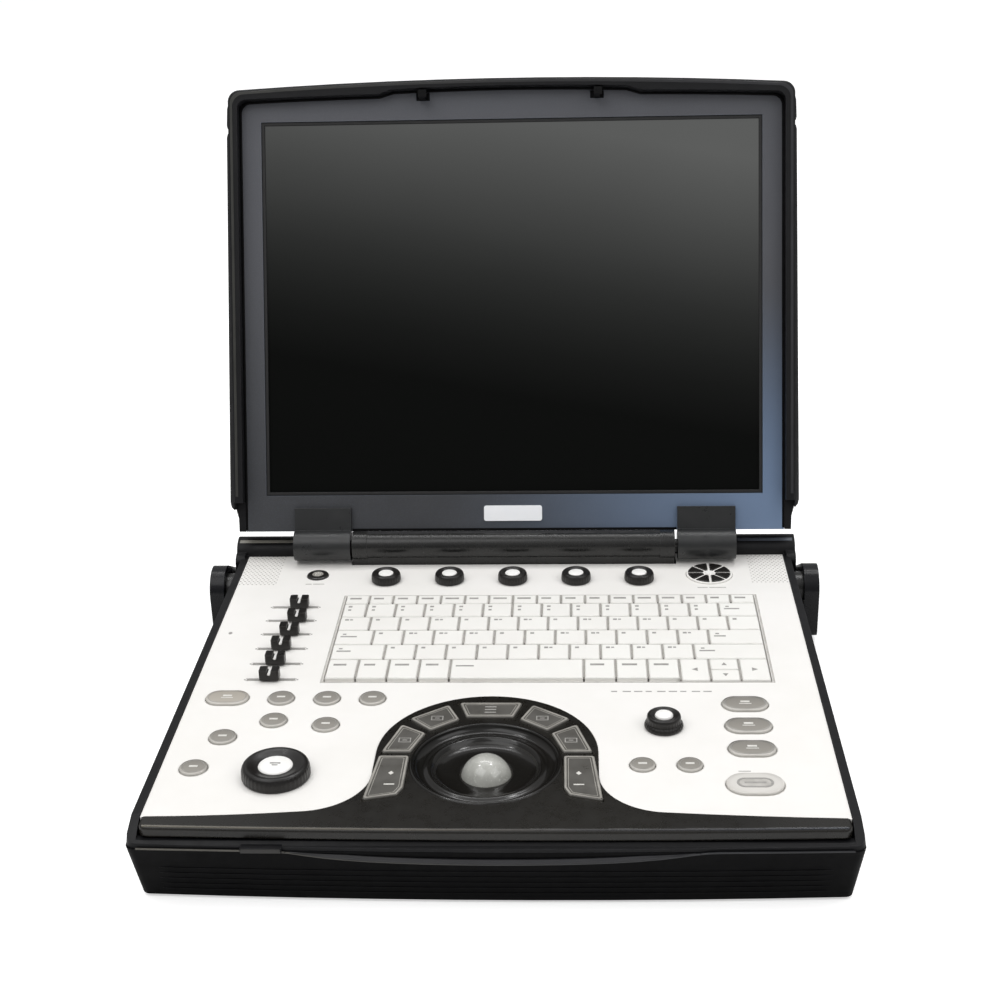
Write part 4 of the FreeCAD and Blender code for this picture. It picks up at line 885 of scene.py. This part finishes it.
def freeze_marks(name, x, y):
    body, top = name + "_body", BUTTON_TOP
    line = Builder()
    line.ring(stadium(x, y, 15.6, 6.2), stadium(x, y, 17.8, 8.4), top - 0.05, top + 0.14)
    line.bar(x - 5.2, x + 5.2, y - 0.7, y + 0.7, top + 0.05, top + 0.13)
    line.done(name + "_inner_line", MAT["mark"], body, slot="key_grey")
    face = Builder()
    face.prism(stadium(x, y, 15.8, 6.4), top - 0.04, top + 0.1, inset=0.2)
    face.done(name + "_face", MAT["groove"], body, slot="key_grey")


def button_marks(name, x, y, length, width):
    body, top = name + "_body", BUTTON_TOP
    mark = Builder()
    if length > LONG_BUTTON:
        mark.bar(x - 2.4, x + 2.4, y + 0.3, y + 2.0, top - 0.02, top + 0.08)
        mark.bar(x - 3.2, x + 3.2, y - 1.4, y - 0.6, top - 0.02, top + 0.08)
        inner, outer = 3.2, 2.5
    else:
        mark.bar(x - 2.2, x + 2.2, y - 0.7, y + 0.9, top - 0.02, top + 0.08)
        inner, outer = 3.4, 2.8
    mark.done(name + "_mark", MAT["mark_light"], body, slot="panel_white")
    line = Builder()
    line.ring(stadium(x, y, length - inner, width - inner),
              stadium(x, y, length - outer, width - outer), top - 0.05, top + 0.06)
    line.done(name + "_rim_line", MAT["mark"], body, slot="key_grey")


for name, (x, y, length, width) in BUTTONS.items():
    if name == "freeze_button":
        freeze_marks(name, x, y)
    else:
        button_marks(name, x, y, length, width)

# pale grey ring round each button, just outside its edge
halos = Builder()
for x, y, length, width in BUTTONS.values():
    halos.ring(stadium(x, y, length + 0.7, width + 0.7),
               stadium(x, y, length + 1.5, width + 1.5), INK_FOOT, 0.04)
halos.done("button_halos", MAT["mark_light"], "base", slot="panel_white")

# ---------------------------------------------------------------- power button
POWER_X, POWER_Y = -119.5, -19.0
POWER_MARK_Z = (0.85, 1.12)
power_ring = lathe(
    "power_ring", POWER_X, POWER_Y,
    [(0, 0.9), (3.2, 0.9), (3.4, 1.15), (3.6, 1.15), (5.4, 1.2), (6.2, 1.0), (6.45, 0.7),
     (6.5, 0.2), (6.5, -4.0), (0, -4.0)],
    MAT["petal"], "power_button_body", slot="knob_black", seg=64,
    inner_mat=MAT["arc_rim"], inner_spans=2)
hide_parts("power_button")

# open circle with an upright stroke
power_mark = Builder()
start, end, steps = math.radians(120), math.radians(420), 27
inner = arc(POWER_X, POWER_Y, 1.35, start, end, steps)
outer = arc(POWER_X, POWER_Y, 1.75, start, end, steps)
for k in range(steps):
    power_mark.prism([inner[k], outer[k], outer[k + 1], inner[k + 1]], *POWER_MARK_Z)
power_mark.bar(POWER_X - 0.2, POWER_X + 0.2, POWER_Y + 0.4, POWER_Y + 2.1, *POWER_MARK_Z)
power_mark.done("power_mark", MAT["mark_light"], "power_button_body", slot="panel_white")

# ---------------------------------------------------------------- eight-lobed pad
PAD_X, PAD_Y = 119.7, -19.0
LOBES = 8
lobes = Builder()
for k in range(LOBES):
    a = 2 * math.pi * (k + 0.5) / LOBES
    lobes.prism(arc(PAD_X, PAD_Y, 13.0, a - 0.345, a + 0.345, 8)
                + arc(PAD_X, PAD_Y, 3.7, a + 0.24, a - 0.24, 4), 0.85, 1.5, inset=0.35)
lobes.done("pad_lobes", MAT["petal"], "direction_pad_body", slot="knob_black", bevel=0.0002)
hub = Builder()
hub.prism(ellipse(PAD_X, PAD_Y, 2.6, 2.6, 32), 0.85, 1.4, inset=0.4)
hub.done("pad_hub", MAT["cap"], "direction_pad_body", slot="panel_white")

# ---------------------------------------------------------------- arc keys
# Outlines (x, y) of the keys left of the trackball, from the front, and of the one behind it
ARC_LEFT = (
    [(-62.1, -269.3), (-58.4, -231.6), (-44.7, -231.6), (-45.0, -259.6), (-47.4, -265.3)],
    [(-57.3, -226.4), (-50.0, -201.6), (-38.4, -209.5), (-44.3, -226.4)],
    [(-45.6, -194.6), (-27.8, -181.6), (-22.0, -195.0), (-35.3, -205.2)],
)
ARC_MIDDLE = [(-21.0, -178.9), (10.0, -178.9), (6.1, -192.0), (-17.1, -192.0)]
ARC_KEYS = [*ARC_LEFT, ARC_MIDDLE, *(mirrored(points, BALL_X) for points in reversed(ARC_LEFT))]
ARC_GROWTH = 0.9  # the keys stand this far outside the outlines
END_KEYS, MIDDLE_KEY = (1, 7), 4


def arc_key_symbol(i, x, y):
    symbol = Builder()
    z = (ARC_KEY_TOP - 0.02, ARC_KEY_TOP + 0.07)
    if i in END_KEYS:
        symbol.prism([(x - 1.4, y + 4.6), (x, y + 3.0), (x + 1.4, y + 4.6), (x, y + 6.4)], *z)
        symbol.bar(x - 2.6, x + 2.6, y - 6.0, y - 5.0, *z)
    elif i == MIDDLE_KEY:
        for low in (2.4, -0.4, -3.2):
            symbol.bar(x - 3.0, x + 3.0, y + low, y + low + 1.0, *z)
    else:
        symbol.ring(rect(x - 2.6, x + 2.6, y - 1.6, y + 1.6),
                    rect(x - 3.2, x + 3.2, y - 2.2, y + 2.2), *z)
        symbol.bar(x - 1.2, x + 1.2, y - 0.4, y + 0.4, *z)
    symbol.done("arc_key_symbol_%d" % i, MAT["mark_light" if i in END_KEYS else "mark"],
                "arc_key_%d_body" % i, slot="panel_white")


for i, outline in enumerate(ARC_KEYS, 1):
    points = grown(outline, ARC_GROWTH)
    rims = Builder()
    rims.ring(rounded(grown(points, -1.5), 1.0), rounded(grown(points, -0.45), 1.4),
              ARC_KEY_TOP - 0.05, ARC_KEY_TOP + 0.16)
    rims.ring(rounded(grown(points, -2.6), 0.6), rounded(grown(points, -2.15), 0.9),
              ARC_KEY_TOP - 0.05, ARC_KEY_TOP + 0.08)
    rims.done("arc_key_rim_%d" % i, MAT["arc_rim"], "arc_key_%d_body" % i, slot="key_grey")
    arc_key_symbol(i, sum(p[0] for p in points) / len(points),
                   sum(p[1] for p in points) / len(points))

# ---------------------------------------------------------------- trackball bowl liner
# Upper face, from the outer lip in to the ball: radius, height
BOWL_FACE = [
    (38.1, 0.35), (37.9, 0.75), (37.3, 1.15), (36.5, 1.2), (35.9, 0.7), (35.5, -0.4),
    (34.6, -1.5), (33.2, -2.35), (31.6, -2.5), (30.4, -2.2), (29.4, -1.75), (28.4, -1.5),
    (27.4, -1.7), (26.5, -2.5), (25.5, -3.6), (24.2, -4.4), (22.4, -5.05), (19.6, -5.4),
    (16.5, -5.55), (14.4, -5.6), (13.4, -5.75), (13.1, -6.1)]
# Underside, back out to the lip
BOWL_UNDER = [(13.1, -6.9), (24.0, -6.9), (33.0, -6.0), (36.0, -4.0), (38.0, -1.0)]
lathe("bowl_liner", BALL_X, BALL_Y, curve(BOWL_FACE, 5) + BOWL_UNDER, MAT["ring_gloss"], "base",
      slot="palm_black", seg=160, closed=True)

# ---------------------------------------------------------------- screen gasket


def screen_rect(inset):
    return rect(-SCREEN_HALF + inset, SCREEN_HALF - inset, SCREEN_LOW + inset,
                SCREEN_TOP - inset)


gasket = Builder(lid)
gasket.ring(screen_rect(2.1), screen_rect(0.02), -2.55, -0.7)
gasket.done("screen_gasket", MAT["gasket"], "lid", slot="rubber_black", bevel=0.0003)

# ---------------------------------------------------------------- lid rim highlight and painted inner shadow


def rim_path(inset):
    """Lid outline up the right side, over the top and down the left, drawn in by inset."""
    x, drop = 173.0 - inset, -inset
    side = [(x, up) for up in (42.0, 100.0, 160.0, 220.0)]
    corner = through((x, 283.6 + drop), (x - 2.0, 289.4 + drop), (x - 7.0, 291.6 + drop), 10)
    top = through((x - 7.0, 291.6 + drop), (0.0, 296.3 + drop), (-x + 7.0, 291.6 + drop), 40)
    return side + corner + top[1:-1] + mirrored(side + corner)


def bezel_path(inset):
    """Bezel outline in the same order, with its raised middle at the top."""
    x, drop = 167.0 - inset, -inset
    side = [(x, up) for up in (20.6, 40.0, 100.0, 160.0, 220.0)]
    corner = through((x, 279.4 + drop), (x - 1.8, 283.8 + drop), (x - 6.0, 285.4 + drop), 8)
    shoulder = through((x - 6.0, 285.4 + drop), (122.0, 286.6 + drop), (80.0, 287.4 + drop), 10)
    half = side + corner + shoulder[1:] + [(71.5, 290.0 + drop)]
    top = through((71.5, 290.0 + drop), (0.0, 291.4 + drop), (-71.5, 290.0 + drop), 24)
    return half + top[1:-1] + mirrored(half)


def lid_band(name, path, section, mat):
    """Band round the lid; section is a list of (inset, height out of the lid)."""
    rows = [(path(inset), out) for inset, out in section]
    rings = [[lid(*points[k], out) for points, out in rows] for k in range(len(rows[0][0]))]
    sweep(name, [rings], mat, "lid", slot="shell_black")


# lighter band along the outer edge of the lid rim: painted highlight, brighter on the left
MAT["rim"] = fading("lid_rim_painted_highlight", [(-0.18, (52, 52, 49)), (0.0, (40, 40, 41)),
                                      (0.18, (44, 44, 47))], rough=0.38)
lid_band("lid_rim_highlight_band", rim_path,
         [(1.0, 8.75), (1.5, 9.1), (2.9, 9.12), (3.1, 8.8), (1.6, 8.4)], MAT["rim"])
# near-black band just inside the rim: painted shadow at the step down to the bezel
MAT["step"] = plastic("rim_step_painted_shadow", (6, 6, 7), rough=0.6, spec=0.08)
lid_band("lid_rim_step_shadow", bezel_path,
         [(-0.1, 0.3), (0.2, 0.42), (1.1, 0.22), (1.25, -0.15), (-0.1, -0.15)], MAT["step"])

# dark strip on the lower edge of the bezel, between the hinge plates: painted shadow of the gap
# above the hinge drum
lower_edge = Builder(lid)
lower_edge.bar(-100.2, 101.0, 19.62, 21.2, -0.05, 0.14, inset=0.05)
lower_edge.done("bezel_lower_gap_shadow", MAT["step"], "lid", slot="shell_black")

# ---------------------------------------------------------------- roll seal and painted ridge highlights
ROLL_Y, ROLL_Z = 2.0, 11.0


def along_x(name, xs, section, mat, slot):
    """Closed section of (y, z) carried along x."""
    sweep(name, [[[deck(x, y, z) for y, z in section] for x in xs]], mat, "base", slot)


def on_roll(radius, degrees):
    a = math.radians(degrees)
    return ROLL_Y + radius * math.cos(a), ROLL_Z + radius * math.sin(a)


seal = [on_roll(8.69 if 34 < a < 96 else 8.12, a)
        for a in (30, 36, 44, 52, 60, 68, 76, 84, 92, 98)]
seal += [on_roll(8.0, a) for a in (98, 64, 30)]
along_x("roll_seal", spaced(-99.3, 99.3, 24), seal, MAT["rubber"], "rubber_black")

# lighter strips along the top of the side ridges: painted highlight, brighter on the left
MAT["line"] = fading("ridge_painted_highlight", [(-0.18, (150, 147, 138)), (-0.13, (140, 137, 129)),
                                          (0.13, (84, 88, 96)), (0.18, (92, 97, 106))],
                     rough=0.3)
for tag, start, end in (("left", -173.2, -139.4), ("right", 139.4, 173.2)):
    along_x("ridge_line_" + tag, spaced(start, end, 12),
            [(13.2, 7.2), (13.4, 7.72), (14.6, 8.3), (15.7, 8.62), (16.0, 8.2)],
            MAT["line"], "shell_black")

# ---------------------------------------------------------------- front face


def front_y(x, z):
    """Front face of the lower shell at that height; it bows forward in the middle."""
    t = (z + 40.2) / 31.0
    return -288.2 - 8.7 * t - (3.8 - 1.3 * t) * (1 - (x / (165.6 + 2.6 * t)) ** 2)


def rib_ring(x, z):
    """Section of a rib, fading out at its ends."""
    stand = 0.32 * min(1.0, (RIB_HALF - abs(x)) / 6.0 + 0.05)
    return [deck(x, front_y(x, z + dz) - out, z + dz)
            for dz, out in ((-0.45, -0.15), (-0.2, stand), (0.2, stand), (0.45, -0.15))]


RIB_HALF = 158.0
RIB_HEIGHTS = (-21.0, -24.6, -28.2, -31.8, -35.4)
sweep("front_ribs", [[rib_ring(x, z) for x in spaced(-RIB_HALF, RIB_HALF, 60)]
                     for z in RIB_HEIGHTS], MAT["shell_low"], "base", "shell_black")

# Front seam: x, z. Level at the sides, dipping round the finger scoop
SEAM_LEVEL = [(x, -8.9) for x in (-167.0, -160.0, -150.0, -140.0, -130.0, -120.0, -113.0,
                                  -106.0)]
SEAM_DIP = [(-100.0, -9.1), (-94.0, -9.9), (-87.0, -11.2), (-78.0, -12.7), (-68.0, -13.9),
            (-57.0, -14.8), (-46.0, -15.4), (-32.0, -15.95), (-17.0, -16.3)]
SEAM_MIDDLE = [(0.0, -16.45)]

# bead along the seam; its lighter tone is a painted highlight, brighter on the left
seam_half = SEAM_LEVEL + SEAM_DIP
MAT["bead"] = fading("seam_bead_painted_highlight", [(-0.17, (78, 75, 68)), (-0.09, (66, 64, 60)),
                                         (0.0, (56, 56, 56)), (0.09, (38, 39, 42)),
                                         (0.17, (34, 35, 38))])
BEAD_SECTION = ((-0.45, -0.35), (-0.3, 0.12), (0.15, 0.2), (0.4, -0.1), (0.4, -0.5))
bead = [[deck(x, front_y(x, z) - out, z + dz) for dz, out in BEAD_SECTION]
        for x, z in seam_half + SEAM_MIDDLE + mirrored(seam_half)]
sweep("front_seam_highlight_bead", [bead], MAT["bead"], "base", "shell_black")


def lip_ring(x, z):
    """Section of the scoop's lip, lower towards its ends."""
    tall = 2.9 * min(1.0, (97.0 - abs(x)) / 30.0 + 0.1)
    section = ((0.3, -0.3), (0.35, 0.05), (0.5 * tall, 0.0), (tall, -0.5), (tall, -1.6))
    return [deck(x, front_y(x, z + dz) - out, z + dz) for dz, out in section]


# rolled lip of the finger scoop, standing on the bead; its tone is a painted highlight
lip_half = SEAM_DIP[1:]
MAT["lip"] = fading("scoop_lip_painted_highlight", [(-0.17, (44, 44, 44)), (0.0, (42, 42, 45)),
                                        (0.17, (32, 33, 36))], rough=0.4)
lip = [lip_ring(x, z) for x, z in lip_half + SEAM_MIDDLE + mirrored(lip_half)]
sweep("finger_scoop_lip", [lip], MAT["lip"], "base", "shell_black")

# face of the release tab
MAT["tab"] = fading("release_tab_satin", [(-0.17, (50, 49, 48)), (0.17, (50, 49, 48))])
tab = Builder()
tab.bar(-117.0, -98.2, -299.9, -298.9, -9.0, -7.1, inset=0.25)
tab.done("release_tab_face", MAT["tab"], "base", slot="shell_black")


def palm_edge_ring(x):
    y = -292.7 - 2.5 * (1 - (x / 163.0) ** 2)
    section = ((1.9, 0.5), (1.55, 0.68), (0.95, 0.42), (0.75, -0.05), (1.4, -0.3))
    return [deck(x, y + dy, z) for dy, z in section]


# painted highlight strip along the rounded front edge of the palm rest, brighter on the left
MAT["strip"] = fading("palm_edge_painted_highlight", [(-0.17, (98, 94, 84)), (-0.03, (86, 82, 76)),
                                          (0.04, (54, 53, 54)), (0.1, (46, 46, 49)),
                                          (0.17, (50, 53, 60))], rough=0.3)
sweep("palm_front_edge", [[palm_edge_ring(x) for x in spaced(-164.5, 164.5, 64)]],
      MAT["strip"], "base", "palm_black")

# ---------------------------------------------------------------- floor


def floor_material():
    """Pale matt floor that also glows a little, but only as the camera sees it."""
    m = new_material("floor_pale")
    clouds = m.remap(m.noise(scale=1.5, detail=3.0), span=(0.3, 0.7))
    camera_ray = m.add("LightPath").outputs["Is Camera Ray"]
    m.surface(Base_Color=m.mix(clouds, (0.90, 0.90, 0.90, 1), (0.93, 0.93, 0.93, 1)),
              Roughness=0.9, Specular_IOR_Level=0.1, Emission_Color=(1, 1, 1, 1),
              Emission_Strength=m.times(camera_ray, 0.5))
    return m.owner


floor_mesh = bpy.data.meshes.new("floor")
floor_mesh.from_pydata([(-6, -4, 0), (6, -4, 0), (6, 9, 0), (-6, 9, 0)], [], [(0, 1, 2, 3)])
floor_mesh.materials.append(floor_material())
floor = bpy.data.objects.new("floor", floor_mesh)
scene.collection.objects.link(floor)

# ---------------------------------------------------------------- lights (m, W)


def area(name, at, aim, size, power):
    light = bpy.data.lights.new(name, "AREA")
    light.energy = power
    light.shape = "RECTANGLE"
    light.size, light.size_y = size
    obj = bpy.data.objects.new(name, light)
    scene.collection.objects.link(obj)
    obj.location = at
    obj.rotation_euler = (Vector(aim) - Vector(at)).to_track_quat("-Z", "Y").to_euler()


area("key_softbox", at=(-0.9, -0.9, 2.0), aim=(0, 0, 0.1), size=(1.8, 1.4), power=14.3)
area("fill_softbox", at=(1.3, -0.7, 1.5), aim=(0, 0, 0.1), size=(1.4, 1.2), power=8.1)
area("top_softbox", at=(0.0, 0.6, 2.2), aim=(0, 0, 0.1), size=(2.2, 1.2), power=9.8)
area("streak_right", at=(0.5, 0.2, 1.6), aim=(0.0, -0.05, 0.05), size=(0.16, 0.16), power=1.6)
area("streak_left", at=(-0.7, 0.1, 1.5), aim=(0.0, -0.05, 0.05), size=(0.14, 0.14), power=1.1)
area("roll_strip", at=(0.0, 0.62, 1.65), aim=(0.0, 0.09, 0.05), size=(1.3, 0.1), power=3.6)

# ---------------------------------------------------------------- world
# White to the camera; for lighting, a dome that brightens with height
WHITE = (1, 1, 1, 1)
world = bpy.data.worlds.new("studio")
scene.world = world
sky = Graph(world, shader="Background", space="Generated")
sky.surface(Color=WHITE, Strength=sky.remap(sky.axes()[2], span=(-0.1, 0.75), to=(0.12, 0.62)))
backdrop = sky.add("Background", Color=WHITE, Strength=1.0)
choice = sky.add("MixShader")
sky.feed(choice.inputs[0], sky.add("LightPath").outputs["Is Camera Ray"])
sky.feed(choice.inputs[1], sky.shader.outputs[0])
sky.feed(choice.inputs[2], backdrop.outputs[0])
sky.feed(sky.nodes["World Output"].inputs[0], choice.outputs[0])
scene.view_settings.view_transform = "Standard"
scene.view_settings.look = "None"
scene.view_settings.exposure = 0.0

# ---------------------------------------------------------------- camera
PITCH, YAW, ROLL = -0.39924, 0.05188, 0.02612  # radians about x, z and y
CAMERA_AT = deck(42.446, -958.957, 446.947)
SENSOR_WIDTH = 36.0
FOCAL_RATIO = 1.702655  # focal length in sensor widths

cos_p, sin_p = math.cos(PITCH), math.sin(PITCH)
cos_y, sin_y = math.cos(YAW), math.sin(YAW)
cos_r, sin_r = math.cos(ROLL), math.sin(ROLL)
turn = (Matrix(((cos_y, -sin_y, 0), (sin_y, cos_y, 0), (0, 0, 1)))
        @ Matrix(((1, 0, 0), (0, cos_p, -sin_p), (0, sin_p, cos_p)))
        @ Matrix(((cos_r, 0, sin_r), (0, 1, 0), (-sin_r, 0, cos_r))))
right, up, back = turn @ Vector((1, 0, 0)), turn @ Vector((0, 0, 1)), -(turn @ Vector((0, 1, 0)))
camera_data = bpy.data.cameras.new("camera")
camera = bpy.data.objects.new("camera", camera_data)
scene.collection.objects.link(camera)
camera_data.sensor_fit = "HORIZONTAL"
camera_data.sensor_width = SENSOR_WIDTH
camera_data.lens = SENSOR_WIDTH * FOCAL_RATIO
camera.matrix_world = Matrix((
    (right.x, up.x, back.x, CAMERA_AT.x), (right.y, up.y, back.y, CAMERA_AT.y),
    (right.z, up.z, back.z, CAMERA_AT.z), (0, 0, 0, 1)))
scene.camera = camera
